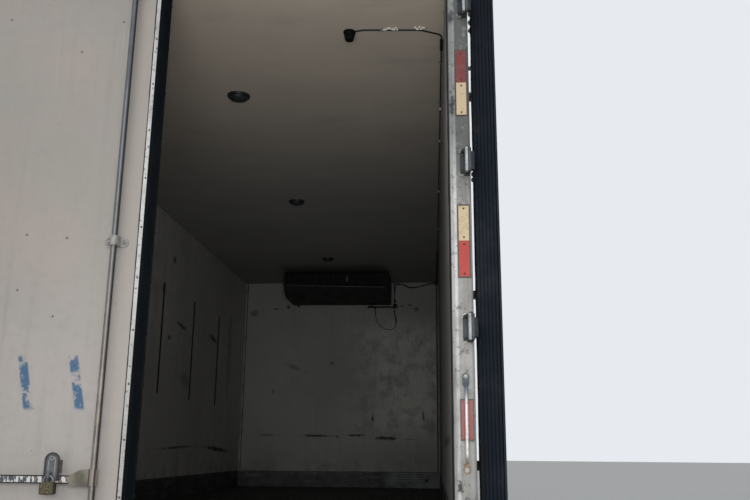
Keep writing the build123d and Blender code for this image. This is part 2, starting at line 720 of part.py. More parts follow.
def door_leaf(lip_x, with_lug):
    """Panel, trim, gasket, straps, lock bar and brackets of a shut left door whose lip ends at lip_x."""
    hinge_edge, free_edge = -inner_x + LIP + LIP_CLEAR, lip_x - LIP
    bottom, top = z_floor + LIP + LIP_CLEAR, z_ceiling - LIP - LIP_CLEAR
    edge_end = door_inner + TRIM_SHEET
    pieces = {}

    def framed(grow, y_pair, mode=Mode.ADD):
        block((hinge_edge - grow, free_edge + grow), y_pair, (bottom - grow, top + grow), mode)

    with BuildPart() as panel:
        framed(-TRIM_SHEET, (door_face, door_inner))
    pieces["panel"] = panel.part

    with BuildPart() as trim:
        framed(0, (trim_face, edge_end))
        framed(-TRIM_SHEET, (door_face, door_inner), Mode.SUBTRACT)
        framed(-TRIM_LEG, (trim_face, edge_end), Mode.SUBTRACT)
    pieces["trim"] = trim.part

    # Gasket round the door's edge: a run of sloping fins, then a bulb that laps onto the inner face
    pitch = (edge_end - trim_face) / FIN_COUNT
    rings = []
    for number in range(FIN_COUNT):
        root = trim_face + number * pitch
        rings += [(root, GASKET_BASE, 0), (root + FIN_SLOPE * pitch, LIP, 0)]
    rings += [(edge_end - 1.0, GASKET_BASE, 0), (edge_end + 1.0, LIP, BULB_LIP)]
    rings += [(edge_end + BULB_DEPTH - 3.0, LIP, BULB_LIP)]
    rings += [(edge_end + BULB_DEPTH, LIP - 5.0, BULB_LIP - 1.0)]
    with BuildPart() as gasket:
        for depth, grow, free in rings:
            left, right = hinge_edge - grow, free_edge + grow + free
            low, high = bottom - grow, top + grow
            with BuildSketch(Plane.XZ.offset(-depth)):
                with BuildLine():
                    Polyline((left, low), (right, low), (right, high), (left, high), close=True)
                make_face()
        loft(ruled=True)
        framed(0, (trim_face, edge_end), Mode.SUBTRACT)
        framed(-BULB_LEG, (edge_end, edge_end + BULB_DEPTH), Mode.SUBTRACT)
        framed(-BULB_DEPTH, (edge_end + BULB_DEPTH / 2, edge_end + BULB_DEPTH), Mode.SUBTRACT)
    pieces["gasket"] = gasket.part

    # One strap: an eye round the pin, a cranked arm and a tapered plate on the outside of the door
    face = PIN_BEHIND + trim_face - y_rear
    back = face - HINGE_PLATE
    arm = [(-4, 11), (22, face), (STRAP_LENGTH, face), (STRAP_LENGTH, back), (44, back), (10, -7)]
    eye, plate = KNUCKLE_LENGTH / 2, STRAP_HEIGHT / 2
    with BuildPart() as strap:
        prism([(dx - pin_x, dy + pin_y) for dx, dy in arm], Plane.XY.offset(-eye), KNUCKLE_LENGTH)
        with BuildSketch(Plane.XZ.offset(-door_inner)) as outline:
            with BuildLine():
                Polyline(
                    (-pin_x - KNUCKLE_RADIUS, -eye),
                    (-pin_x + STRAP_TAPER / 3, -eye),
                    (-pin_x + STRAP_TAPER, -plate),
                    (-pin_x + STRAP_LENGTH, -plate),
                    (-pin_x + STRAP_LENGTH, plate),
                    (-pin_x + STRAP_TAPER, plate),
                    (-pin_x + STRAP_TAPER / 3, eye),
                    (-pin_x - KNUCKLE_RADIUS, eye),
                    close=True,
                )
            make_face()
            fillet(outline.vertices().group_by(Axis.X)[-1], plate - 1.0)
        extrude(outline.sketch, amount=door_inner - pin_y + DOOR_THICK, mode=Mode.INTERSECT)
        packing = (hinge_edge + TRIM_LEG, -pin_x + STRAP_LENGTH - plate)
        block(packing, (trim_face, door_face), (-plate, plate))
        with Locations((-pin_x, pin_y, 0)):
            Cylinder(KNUCKLE_RADIUS, KNUCKLE_LENGTH)
            Cylinder(PIN_RADIUS + PIN_RUNNING, KNUCKLE_LENGTH, mode=Mode.SUBTRACT)
    with BuildPart() as straps:
        with Locations(*[(0, 0, z_floor + height) for height in HINGE_HEIGHTS]):
            add(strap.part)
    pieces["straps"] = straps.part

    # Lock bar: a full-height rod with a cam at each end, a tapered hub and the flat handle
    handle_mid = z_floor + HANDLE_Z
    handle_half = HANDLE_TALL / 2
    with BuildPart() as lock_bar:
        rod_low, rod_high = z_floor - ROD_OVERRUN, z_ceiling + ROD_OVERRUN
        with Locations((-ROD_X, rod_y, (rod_low + rod_high) / 2)):
            Cylinder(ROD_RADIUS, rod_high - rod_low)
        for low in (rod_low, rod_high - CAM_TALL):
            with BuildSketch(Plane.XY.offset(low)) as cam:
                with Locations((-ROD_X, rod_y)):
                    Circle(ROD_RADIUS + KEEPER_PLAY / 2)
                with Locations((-ROD_X, (rod_y + y_rear - CAM_PLAY) / 2)):
                    Rectangle(CAM_WIDTH, y_rear - CAM_PLAY - rod_y)
            extrude(cam.sketch, amount=CAM_TALL)
        hub_top, hub_foot = handle_mid + HUB_RISE, handle_mid - HUB_FOOT
        with Locations((-ROD_X, rod_y, (hub_top + hub_foot) / 2)):
            Cylinder(HUB_RADIUS, hub_top - hub_foot)
        with BuildSketch(Plane.XZ.offset(-(rod_y + HUB_THICK / 4))) as hub:
            with BuildLine():
                Polyline(
                    (-ROD_X, hub_foot),
                    (-ROD_X, hub_top),
                    (-ROD_X - HUB_SHOULDER, hub_top - 3.0),
                    (-ROD_X - HUB_REACH, handle_mid + handle_half + 2.0),
                    (-ROD_X - HUB_REACH, hub_foot),
                    close=True,
                )
            make_face()
        extrude(hub.sketch, amount=HUB_THICK)
        with BuildSketch(Plane.XZ.offset(-(rod_y - HANDLE_OUT + HANDLE_THICK))) as handle:
            with Locations((-(ROD_X + HANDLE_END_X) / 2, handle_mid)):
                Rectangle(HANDLE_END_X - ROD_X, HANDLE_TALL)
            fillet(handle.vertices().group_by(Axis.X)[0], handle_half - 1.0)
        extrude(handle.sketch, amount=HANDLE_THICK)
    pieces["lock_bar"] = lock_bar.part

    # Brackets: the rod guides, and the arched hasp plate that traps the handle
    plate_y = rod_y - HASP_OFF_ROD
    with BuildPart() as brackets:
        for height in GUIDE_HEIGHTS:
            low = z_floor + height - GUIDE_TALL / 2
            guide_round = ROD_RADIUS + GUIDE_WALL
            with BuildSketch(Plane.XZ.offset(-door_face)) as foot:
                with Locations((-ROD_X, z_floor + height)):
                    SlotOverall(GUIDE_WIDTH, GUIDE_TALL)
            extrude(foot.sketch, amount=door_face - trim_face + GUIDE_FOOT)
            with BuildSketch(Plane.XY.offset(low)) as guide:
                with Locations((-ROD_X, (rod_y + trim_face) / 2)):
                    Rectangle(2 * guide_round, trim_face - rod_y)
                with Locations((-ROD_X, rod_y)):
                    Circle(guide_round)
                    Circle(ROD_RADIUS + ROD_RUNNING, mode=Mode.SUBTRACT)
            extrude(guide.sketch, amount=GUIDE_TALL)
        arch_mid = z_floor + HASP_TOP - HASP_WIDTH / 2
        hasp_foot = z_floor + HASP_LOW
        with BuildSketch(Plane.XZ.offset(-(plate_y + HASP_STEEL))) as arch:
            with Locations((-HASP_X, arch_mid)):
                Circle(HASP_WIDTH / 2)
            with Locations((-HASP_X, (arch_mid + hasp_foot) / 2)):
                Rectangle(HASP_WIDTH, arch_mid - hasp_foot)
        extrude(arch.sketch, amount=HASP_STEEL)
        with BuildSketch(Plane.XZ.offset(-plate_y)) as rim:
            with Locations((-HASP_X, arch_mid)):
                Circle(HASP_WIDTH / 2)
                Circle(HASP_WIDTH / 2 - HASP_RIM, mode=Mode.SUBTRACT)
            with Locations((-HASP_X, (arch_mid + hasp_foot) / 2)):
                Rectangle(HASP_WIDTH, arch_mid - hasp_foot)
                Rectangle(HASP_WIDTH - 2 * HASP_RIM, arch_mid - hasp_foot, mode=Mode.SUBTRACT)
            with Locations((-HASP_X, arch_mid)):
                Circle(HASP_BOSS)
        extrude(rim.sketch, amount=HASP_EMBOSS)
        block(
            (-HASP_X - HASP_POST / 2, -HASP_X + HASP_POST / 2),
            (plate_y + HASP_STEEL, door_face),
            (handle_mid + handle_half + HASP_EMBOSS * 4, arch_mid),
        )
        shackle_hole = z_floor + SHACKLE_TOP
        if with_lug:
            with BuildSketch(Plane.YZ.offset(-HASP_X - LUG_STEEL / 2)) as lug:
                with Locations((plate_y - LUG_REACH / 2, shackle_hole)):
                    RectangleRounded(LUG_REACH, LUG_TALL, LUG_ROUND)
                with Locations((plate_y - LUG_ROUND / 2, shackle_hole)):
                    Rectangle(LUG_ROUND, LUG_TALL)
                with Locations((plate_y - PADLOCK_OFF, shackle_hole)):
                    Circle(SHACKLE_RADIUS + LUG_HOLE_PLAY, mode=Mode.SUBTRACT)
            extrude(lug.sketch, amount=LUG_STEEL)
    pieces["brackets"] = brackets.part
    return pieces


def open_right(part):
    """Mirrors a piece of a shut left door to the right and folds it back about the right hinge pins."""
    return mirror(part, about=Plane.YZ).rotate(Axis((pin_x, pin_y, 0), (0, 0, 1)), DOOR_OPEN_ANGLE)


# The right door's hasp has no lug, so that it lies close to the side wall when it is folded back
for piece, part in door_leaf(LEFT_LIP_X, True).items():
    save(part, f"door_left_{piece}")
for piece, part in door_leaf(-RIGHT_LIP_X, False).items():
    save(open_right(part), f"door_right_{piece}")

# Padlock on the left hasp: a rounded body and a bent shackle
lock_y = rod_y - HASP_OFF_ROD - PADLOCK_OFF
lock_top = z_floor + PADLOCK_TOP
shackle_foot = lock_top - SHACKLE_RADIUS
shackle_bend = z_floor + SHACKLE_TOP - SHACKLE_BEND
with BuildPart() as padlock:
    block(
        (-HASP_X - PADLOCK_WIDTH / 2, -HASP_X + PADLOCK_WIDTH / 2),
        (lock_y - PADLOCK_THICK / 2, lock_y + PADLOCK_THICK / 2),
        (lock_top - PADLOCK_TALL, lock_top),
    )
    chamfer(padlock.edges().filter_by(Axis.Y), PADLOCK_EDGE)
    with BuildLine() as shackle_line:
        Line((-HASP_X - SHACKLE_BEND, lock_y, shackle_foot), (-HASP_X - SHACKLE_BEND, lock_y, shackle_bend))
        ThreePointArc(
            (-HASP_X - SHACKLE_BEND, lock_y, shackle_bend),
            (-HASP_X, lock_y, shackle_bend + SHACKLE_BEND),
            (-HASP_X + SHACKLE_BEND, lock_y, shackle_bend),
        )
        Line((-HASP_X + SHACKLE_BEND, lock_y, shackle_bend), (-HASP_X + SHACKLE_BEND, lock_y, shackle_foot))
    with BuildSketch(shackle_line.line ^ 0):
        Circle(SHACKLE_RADIUS)
    sweep()
save(padlock.part, "padlock")

# Ceiling lamps: a flat rim and a shallow dome
hung = (Align.CENTER, Align.CENTER, Align.MAX)
with BuildPart() as lamp:
    Cone(LAMP_RADIUS - LAMP_RIM / 4, LAMP_RADIUS, LAMP_DROP / 2, align=hung)
    Cylinder(LAMP_RADIUS - LAMP_RIM, LAMP_DROP, align=hung)
    fillet(lamp.edges().group_by(Axis.Z)[0], LAMP_DROP * 0.45)

lamp_step = (CLEAR_LENGTH - LAMP_PLACE - LAMP_LAST) / (LAMP_COUNT - 1)
lamp_rows = [y_rear + LAMP_PLACE + number * lamp_step for number in range(LAMP_COUNT)]
with BuildPart() as ceiling_lamps:
    with Locations(*[(0, row, z_ceiling) for row in lamp_rows]):
        add(lamp.part)
save(ceiling_lamps.part, "ceiling_lamps")

# Small ceiling camera, its cable along the ceiling corner, the clips, and the trunking it ends in
camera_x, camera_y = inner_x - CAMERA_INSET, y_rear + CAMERA_PLACE
standing = (Align.CENTER, Align.CENTER, Align.MIN)
with BuildPart() as ceiling_camera:
    with Locations((camera_x, camera_y, z_ceiling)):
        Cylinder(CAMERA_RADIUS, CAMERA_FLANGE, align=hung)
    with Locations((camera_x, camera_y, z_ceiling - CAMERA_DROP)):
        Cone(CAMERA_FOOT, CAMERA_RADIUS - 1.0, CAMERA_DROP - CAMERA_FLANGE, align=standing)
    fillet(ceiling_camera.edges().group_by(Axis.Z)[0], CAMERA_ROUND)
    with Locations(Location((camera_x, camera_y, z_ceiling - CAMERA_DROP / 2), (90, 0, 0))):
        Cylinder(CAMERA_EYE, CAMERA_HOOD, align=standing)
        with Locations((0, 0, CAMERA_HOOD - 4.0)):
            Cylinder(CAMERA_EYE - 3.0, 4.0, align=standing, mode=Mode.SUBTRACT)
save(ceiling_camera.part, "ceiling_camera")

cable_x = inner_x - CABLE_WALL_GAP
cable_z = z_ceiling - CABLE_RADIUS - CABLE_OFF
cross_y = y_rear + CABLE_ROW
turn_x, turn_y = cable_x - CABLE_TURN, cross_y + CABLE_DRIFT
start_x = camera_x + CAMERA_RADIUS + CABLE_START
leaving = math.atan2(camera_y - cross_y, start_x - camera_x)
exit_reach = CAMERA_RADIUS + CABLE_OFF
cable_exit = (camera_x + exit_reach * math.cos(leaving), camera_y - exit_reach * math.sin(leaving), cable_z)
trunk_y = y_bulkhead - TRUNK_LONG
with BuildPart() as ceiling_cable:
    with BuildLine() as cable_line:
        FilletPolyline(
            cable_exit,
            (start_x, cross_y, cable_z),
            (turn_x, turn_y, cable_z),
            (cable_x, cross_y + CABLE_FALL, cable_z),
            (cable_x, trunk_y, cable_z),
            radius=CABLE_BEND,
        )
    with BuildSketch(cable_line.line ^ 0):
        Circle(CABLE_RADIUS)
    sweep()
    with BuildSketch(Plane.XZ.offset(-(y_rear + SLEEVE_PLACE + SLEEVE_LONG))):
        with Locations((cable_x, z_ceiling - CABLE_OFF - SLEEVE_TALL / 2)):
            RectangleRounded(SLEEVE_WIDE, SLEEVE_TALL, SLEEVE_ROUND)
    extrude(amount=SLEEVE_LONG)
save(ceiling_cable.part, "ceiling_cable")

# One clip: a saddle over the cable with an ear against the ceiling
with BuildPart() as clip:
    with BuildSketch(Plane.XZ.offset(-CLIP_WIDTH / 2)):
        Circle(CABLE_RADIUS + CLIP_WALL)
        with Locations((0, (CABLE_RADIUS + CABLE_OFF) / 2)):
            Rectangle(2 * (CABLE_RADIUS + CLIP_WALL), CABLE_RADIUS + CABLE_OFF)
        with Locations((-CABLE_RADIUS - CLIP_EAR / 2, CABLE_RADIUS + CABLE_OFF - CLIP_WALL / 2)):
            Rectangle(CLIP_EAR + CLIP_WALL, CLIP_WALL)
        with Locations((0, 10 * CABLE_RADIUS + CABLE_RADIUS + CABLE_OFF)):
            Rectangle(20 * CABLE_RADIUS, 20 * CABLE_RADIUS, mode=Mode.SUBTRACT)
        Circle(CABLE_RADIUS + CABLE_OFF / 2, mode=Mode.SUBTRACT)
        with Locations((0, CABLE_RADIUS)):
            Rectangle(2 * CABLE_RADIUS, 2 * CABLE_RADIUS, mode=Mode.SUBTRACT)
    extrude(amount=CLIP_WIDTH)

clip_start = y_rear + SLEEVE_PLACE + SLEEVE_LONG + CLIP_FIRST
clip_step = (trunk_y - clip_start - CLIP_FIRST) / (CLIP_COUNT - 1)
clip_rows = [clip_start + number * clip_step for number in range(CLIP_COUNT)]
clip_places = [Location((cable_x, row, cable_z)) for row in clip_rows]
cross_share = CLIP_CROSS / (turn_x - start_x)
cross_turn = math.degrees(math.atan2(CABLE_DRIFT, turn_x - start_x))
cross_place = (start_x + CLIP_CROSS, cross_y + cross_share * CABLE_DRIFT, cable_z)
clip_places.append(Location(cross_place, (0, 0, 90 + cross_turn)))
with BuildPart() as cable_clips:
    with Locations(*clip_places):
        add(clip.part)
save(cable_clips.part, "cable_clips")

junction_end = y_bulkhead - ANGLE_LEG
junction_y = junction_end - JUNCTION_LONG
with BuildPart() as junction_box:
    block((inner_x - TRUNK_WIDE, inner_x), (trunk_y, junction_y), (z_ceiling - TRUNK_DROP, z_ceiling))
    box_rows, box_low = (junction_y, junction_end), z_ceiling - JUNCTION_DROP
    block((inner_x - JUNCTION_WIDE, inner_x), box_rows, (box_low, z_ceiling))
    fillet(junction_box.edges().filter_by(Axis.Y).group_by(Axis.Z)[0], JUNCTION_ROUND)
save(junction_box.part, "junction_box")

# Evaporator: a housing with an air outlet along its upper front, a drain spout, and the outlet vanes
evap_front = y_bulkhead - EVAP_DEPTH
evap_half = EVAP_WIDTH / 2
evap_left, evap_right = EVAP_SHIFT - evap_half, EVAP_SHIFT + evap_half
evap_low = z_ceiling - EVAP_DROP
outlet_low = z_ceiling - EVAP_OUTLET
outlet_x = (evap_left + EVAP_FRAME, evap_right - EVAP_FRAME)
outlet_z = (outlet_low + EVAP_SHELL_LIP, z_ceiling - EVAP_SHELL_LIP)
with BuildPart() as evaporator_housing:
    with BuildSketch(Plane.YZ.offset(evap_left)):
        with BuildLine():
            front_foot = (evap_front + EVAP_SHELL_LIP, outlet_low - 2 * EVAP_SHELL_LIP)
            belly = (evap_front + EVAP_BACKSET, evap_low)
            bulge = (evap_front + EVAP_BACKSET * 0.36, evap_low + (outlet_low - evap_low) * 0.26)
            Polyline(
                belly,
                (y_bulkhead, evap_low),
                (y_bulkhead, z_ceiling),
                (evap_front, z_ceiling),
                (evap_front, outlet_low),
                (evap_front - EVAP_SHELL_LIP, outlet_low - EVAP_SHELL_LIP / 2),
                (evap_front - EVAP_SHELL_LIP, outlet_low - EVAP_SHELL_LIP),
                front_foot,
            )
            ThreePointArc(front_foot, bulge, belly)
        make_face()
    extrude(amount=EVAP_WIDTH)
    for edge, lean in ((evap_left, EVAP_SIDE_TAPER), (evap_right, -EVAP_SIDE_TAPER / 4)):
        prism(
            [(edge, outlet_low), (edge + lean, evap_low - 1.0), (edge, evap_low - 1.0)],
            Plane.XZ.offset(-y_bulkhead - 1.0),
            EVAP_DEPTH + 4 * EVAP_SHELL_LIP,
            Mode.SUBTRACT,
        )
    block(outlet_x, (evap_front - 1.0, evap_front + EVAP_RECESS), outlet_z, Mode.SUBTRACT)
    with Locations((evap_left + SPOUT_INSET, y_bulkhead - SPOUT_INSET, evap_low)):
        Cylinder(SPOUT_RADIUS, SPOUT_DROP, align=hung)
        Cylinder(SPOUT_RADIUS - 4.0, SPOUT_DROP, align=hung, mode=Mode.SUBTRACT)
save(evaporator_housing.part, "evaporator_housing")

vane_pitch = (outlet_x[1] - outlet_x[0]) / (EVAP_VANES + 1)
with BuildPart() as evaporator_vanes:
    for number in range(EVAP_VANES):
        middle = outlet_x[0] + (number + 1) * vane_pitch
        near = evap_front + VANE_STEEL
        block((middle - VANE_STEEL / 2, middle + VANE_STEEL / 2), (near, near + VANE_DEEP), outlet_z)
save(evaporator_vanes.part, "evaporator_vanes")

# Leads at the right end of the evaporator: a conduit under it with two glands, a riser and a tie block
conduit_y = y_bulkhead - CONDUIT_RADIUS - CONDUIT_OFF
conduit_z = evap_low - CONDUIT_BELOW
conduit_left, riser_x = evap_right - CONDUIT_LONG, evap_right + RISER_AWAY
conduit_right = riser_x + CONDUIT_PAST
gland_left, gland_right = conduit_left + GLAND_INSET, riser_x
tie_low = z_ceiling - TIE_DOWN - TIE_TALL
with BuildPart() as lead_conduit:
    with Locations(Location(((conduit_left + conduit_right) / 2, conduit_y, conduit_z), (0, 90, 0))):
        Cylinder(CONDUIT_RADIUS, conduit_right - conduit_left)
    for middle in (conduit_left + 2 * CONDUIT_RADIUS, conduit_right - 2 * CONDUIT_RADIUS):
        block(
            (middle - CLIP_WIDTH, middle + CLIP_WIDTH),
            (conduit_y - CONDUIT_RADIUS - CLIP_WALL, y_bulkhead),
            (conduit_z - CONDUIT_RADIUS - CLIP_WALL, conduit_z + CONDUIT_RADIUS + CLIP_WALL),
        )
    for middle in (gland_left, gland_right):
        with Locations((middle, conduit_y, conduit_z - CONDUIT_RADIUS / 2)):
            Cylinder(GLAND_RADIUS, GLAND_LONG, align=hung)
    with Locations((riser_x, conduit_y, conduit_z)):
        Cylinder(LEAD_RADIUS, tie_low - conduit_z, align=standing)
    tie_span = (riser_x - TIE_PAST, riser_x + TIE_LONG)
    block(tie_span, (y_bulkhead - TIE_DEEP, y_bulkhead), (tie_low, tie_low + TIE_TALL))
save(lead_conduit.part, "lead_conduit")


def lead(points, radius):
    """A free lead: straight runs joined by tangent arcs as large as the runs beside them allow."""
    radii = []
    for before, point, after in zip(points, points[1:], points[2:]):
        first, second = Vector(*point) - Vector(*before), Vector(*after) - Vector(*point)
        half_turn = math.radians(first.get_angle(second)) / 2
        radii.append(0.45 * min(first.length, second.length) / math.tan(half_turn))
    print("lead radii", [round(value) for value in radii])
    with BuildPart() as tube:
        with BuildLine() as route:
            FilletPolyline(*points, radius=radii)
        with BuildSketch(route.line ^ 0):
            Circle(radius)
        sweep()
    expected = math.pi * radius**2 * sum(edge.length for edge in route.edges())
    print("lead volume against section times length", round(tube.part.volume / expected, 4))
    return tube.part


# The looped lead hangs from one gland of the conduit to the other; points are sideways and down from them
gland_foot = conduit_z - CONDUIT_RADIUS / 2 - GLAND_LONG
loop_points = [(gland_left + dx, conduit_y + dy, gland_foot + dz) for dx, dy, dz in LOOP_ROUTE]
loop_points += [(gland_right, conduit_y, gland_foot - LOOP_LAST), (gland_right, conduit_y, gland_foot)]
save(lead(loop_points, LOOP_RADIUS), "loop_lead")

# The slack lead sags along the bulkhead from the corner box to the tie block
slack_start, slack_end = inner_x - JUNCTION_WIDE, riser_x + TIE_LONG
slack_span = slack_start - slack_end
slack_points = [
    (slack_start - share * slack_span, y_bulkhead - TIE_DEEP / 2 - away, z_ceiling - drop)
    for share, away, drop in SLACK_ROUTE
]
save(lead(slack_points, LEAD_RADIUS), "slack_lead")

# Condensing unit: shell, coil, two fans with their motors and shrouds, the round guards, side louvres
unit_high = z_top - UNIT_TOP_GAP
unit_low = unit_high - UNIT_HEIGHT
unit_mid = (unit_high + unit_low) / 2
unit_face = y_front + UNIT_DEPTH
unit_half = UNIT_WIDTH / 2
fan_y = unit_face - FAN_SETBACK
with BuildPart() as condenser_shell:
    block((-unit_half, unit_half), (y_front, unit_face), (unit_low, unit_high))
    fillet(condenser_shell.edges().group_by(Axis.Y)[-1], UNIT_ROUND)
    offset(amount=-UNIT_SHELL, openings=condenser_shell.faces().sort_by(Axis.Y)[0])
    for side in both_sides():
        with Locations(Location((side * FAN_X, unit_face, unit_mid), (90, 0, 0))):
            Cylinder(FAN_RADIUS + FAN_TIP_GAP, FAN_SETBACK, mode=Mode.SUBTRACT)
save(condenser_shell.part, "condenser_shell")

coil_face = y_front + COIL_DEPTH
with BuildPart() as condenser_coil:
    coil_half = unit_half - COIL_INSET
    block((-coil_half, coil_half), (y_front, coil_face), (unit_low + COIL_GAP, unit_high - COIL_GAP))
save(condenser_coil.part, "condenser_coil")

motor_end = fan_y - FAN_HUB_LONG / 2 - MOTOR_GAP
with BuildPart() as fan_motors:
    for side in both_sides():
        with Locations(Location((side * FAN_X, coil_face, unit_mid), (-90, 0, 0))):
            Cylinder(MOTOR_RADIUS, motor_end - coil_face, align=standing)
            Cylinder(SHAFT_RADIUS, fan_y + FAN_HUB_LONG / 3 - coil_face, align=standing)
save(fan_motors.part, "fan_motors")

# Cambered fan blades, narrow and steep at the root, broad and flatter at the tip
blade_root, blade_tip = FAN_HUB * 0.8, FAN_RADIUS
blade_sections = (
    (blade_root, BLADE_ROOT / 2, FAN_HUB_LONG * 0.42),
    (blade_tip, BLADE_TIP / 2, FAN_HUB_LONG * 0.34),
)
for side, name in ((-1, "fan_left"), (1, "fan_right")):
    centre = Location((side * FAN_X, fan_y, unit_mid))
    with BuildPart() as blade:
        for radius, reach, rise in blade_sections:
            with BuildSketch(Plane(centre * Location((0, 0, radius)))):
                with BuildLine():
                    upper, lower = rise + BLADE_THICK, -rise + BLADE_THICK
                    ThreePointArc((-reach, -rise), (0, rise * 0.3), (reach, rise))
                    Line((reach, rise), (reach, upper))
                    ThreePointArc((reach, upper), (0, rise * 0.3 + BLADE_THICK), (-reach, lower))
                    Line((-reach, lower), (-reach, -rise))
                make_face()
        loft()
    with BuildPart() as fan:
        with Locations(centre * Location((0, 0, 0), (90, 0, 0))):
            Cylinder(FAN_HUB, FAN_HUB_LONG)
            fillet(fan.edges().group_by(Axis.Y)[-1], FAN_HUB * 0.2)
        for number in range(FAN_BLADES):
            turn = 360.0 / FAN_BLADES * number
            add(blade.part.rotate(Axis((side * FAN_X, fan_y, unit_mid), (0, 1, 0)), turn))
        with Locations(centre * Location((0, 0, 0), (90, 0, 0))):
            Cylinder(SHAFT_RADIUS + FAN_BORE_PLAY, 2 * FAN_HUB_LONG, mode=Mode.SUBTRACT)
    save(fan.part, name)

# Shrouds: a tube with a flange behind the shell's face and a flared rear mouth
shroud_in = FAN_RADIUS + FAN_TIP_GAP
shroud_out = shroud_in + SHROUD_STEEL
shroud_face = unit_face - UNIT_SHELL
shroud_rear = shroud_face - SHROUD_DEPTH
with BuildPart() as fan_shrouds:
    for side in both_sides():
        with BuildSketch(Plane((side * FAN_X, 0, unit_mid), x_dir=(1, 0, 0), z_dir=(0, 0, 1))):
            with BuildLine():
                Polyline(
                    (shroud_in, shroud_face),
                    (shroud_in + SHROUD_FLANGE, shroud_face),
                    (shroud_in + SHROUD_FLANGE, shroud_face - SHROUD_STEEL),
                    (shroud_out, shroud_face - SHROUD_STEEL),
                    (shroud_out, shroud_rear + SHROUD_FLARE),
                    (shroud_out + SHROUD_FLARE, shroud_rear),
                    (shroud_in + SHROUD_FLARE, shroud_rear - SHROUD_STEEL),
                    (shroud_in, shroud_rear + SHROUD_FLARE),
                    close=True,
                )
            make_face()
        revolve(axis=Axis((side * FAN_X, 0, unit_mid), (0, 1, 0)))
save(fan_shrouds.part, "fan_shrouds")

with BuildPart() as fan_guards:
    for side in both_sides():
        guard_at = (side * FAN_X, unit_face + GUARD_BAR, unit_mid)
        guard_plane = Plane(guard_at, x_dir=(1, 0, 0), z_dir=(0, -1, 0))
        with BuildSketch(guard_plane) as rings:
            for number in range(GUARD_RINGS):
                radius = FAN_RADIUS * (number + 1) / GUARD_RINGS
                Circle(radius)
                Circle(radius - GUARD_BAR, mode=Mode.SUBTRACT)
            Circle(shroud_in + GUARD_RIM / 2)
            Circle(shroud_in - GUARD_RIM / 2, mode=Mode.SUBTRACT)
            Circle(GUARD_HUB)
        with BuildSketch(guard_plane) as spokes:
            with PolarLocations(shroud_in / 2, GUARD_SPOKES):
                Rectangle(shroud_in, GUARD_BAR)
        extrude(rings.sketch, amount=GUARD_BAR)
        extrude(spokes.sketch, amount=GUARD_BAR)
save(fan_guards.part, "fan_guards")

# Louvre hoods on both ends of the unit
louvre_low = unit_mid - (LOUVRE_COUNT - 1) * LOUVRE_PITCH / 2
with BuildPart() as unit_louvres:
    for side in both_sides():
        for number in range(LOUVRE_COUNT):
            foot = louvre_low + number * LOUVRE_PITCH
            prism(
                [
                    (side * unit_half, foot - LOUVRE_TALL / 2),
                    (side * (unit_half + LOUVRE_PROUD), foot - LOUVRE_TALL / 2),
                    (side * unit_half, foot + LOUVRE_TALL / 2),
                ],
                Plane.XZ.offset(-(y_front + LOUVRE_PLACE)),
                -LOUVRE_LONG,
            )
save(unit_louvres.part, "unit_louvres")
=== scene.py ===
"""Finishes, fixings, leads and stage for the insulated box body of a refrigerated truck.

Laid out as an add-on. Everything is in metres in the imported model's frame: +X right seen from behind,
+Y forward to the cab, +Z up. Pieces are placed from the CAD nodes' boxes and the sizes named below.
"""

import json
import math
import random

import bpy
from mathutils import Matrix, Vector
from mathutils.bvhtree import BVHTree

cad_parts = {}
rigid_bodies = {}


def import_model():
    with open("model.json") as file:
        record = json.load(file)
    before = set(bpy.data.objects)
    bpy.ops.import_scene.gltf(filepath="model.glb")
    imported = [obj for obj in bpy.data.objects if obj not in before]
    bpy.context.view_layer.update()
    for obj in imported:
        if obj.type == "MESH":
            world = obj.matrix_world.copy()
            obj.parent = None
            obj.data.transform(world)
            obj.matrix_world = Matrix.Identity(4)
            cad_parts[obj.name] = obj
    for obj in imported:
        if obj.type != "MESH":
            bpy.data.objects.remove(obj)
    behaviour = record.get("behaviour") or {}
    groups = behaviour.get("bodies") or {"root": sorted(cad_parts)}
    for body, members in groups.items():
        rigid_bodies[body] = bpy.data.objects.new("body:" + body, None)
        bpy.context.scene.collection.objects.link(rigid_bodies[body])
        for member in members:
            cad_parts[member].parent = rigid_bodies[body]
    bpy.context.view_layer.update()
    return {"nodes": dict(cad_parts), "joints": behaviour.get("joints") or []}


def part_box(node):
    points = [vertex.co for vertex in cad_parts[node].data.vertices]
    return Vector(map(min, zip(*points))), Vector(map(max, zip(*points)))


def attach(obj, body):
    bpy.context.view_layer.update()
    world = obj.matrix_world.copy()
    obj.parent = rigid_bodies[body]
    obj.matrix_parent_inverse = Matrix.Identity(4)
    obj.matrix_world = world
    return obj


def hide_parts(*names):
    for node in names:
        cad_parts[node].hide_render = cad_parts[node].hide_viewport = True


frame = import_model()

bl_info = {
    "name": "Insulated truck box finishes",
    "version": (1, 0, 0),
    "blender": (4, 5, 0),
    "location": "3D View > Sidebar > Box body",
    "description": "Materials, fixings, leads and stage for an insulated truck box body",
    "category": "Object",
}

# The photograph's camera, fitted to the body's straight edges
PHOTO_WIDTH = 750
CAMERA_AT = Vector((1.145, -6.543, 0.702))
CAMERA_TURN = math.radians(4.149)
CAMERA_TILT = math.radians(13.987)
CAMERA_ROLL = math.radians(0.487)
FOCAL_PIXELS = 804.95
SENSOR_WIDTH = 36.0

NODES = frame["nodes"]
UP, DOWN = (0.0, 0.0, 1.0), (0.0, 0.0, -1.0)
BACK, AHEAD = (0.0, -1.0, 0.0), (0.0, 1.0, 0.0)
LEFT, RIGHT = (-1.0, 0.0, 0.0), (1.0, 0.0, 0.0)
RUST = (0.16, 0.065, 0.025)
GRIME = (0.045, 0.042, 0.038)
BROWN_SHEATH = (0.045, 0.030, 0.018)


def low(node):
    """The lowest corner of a CAD node."""
    return Vector(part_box(node)[0])


def high(node):
    """The highest corner of a CAD node."""
    return Vector(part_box(node)[1])


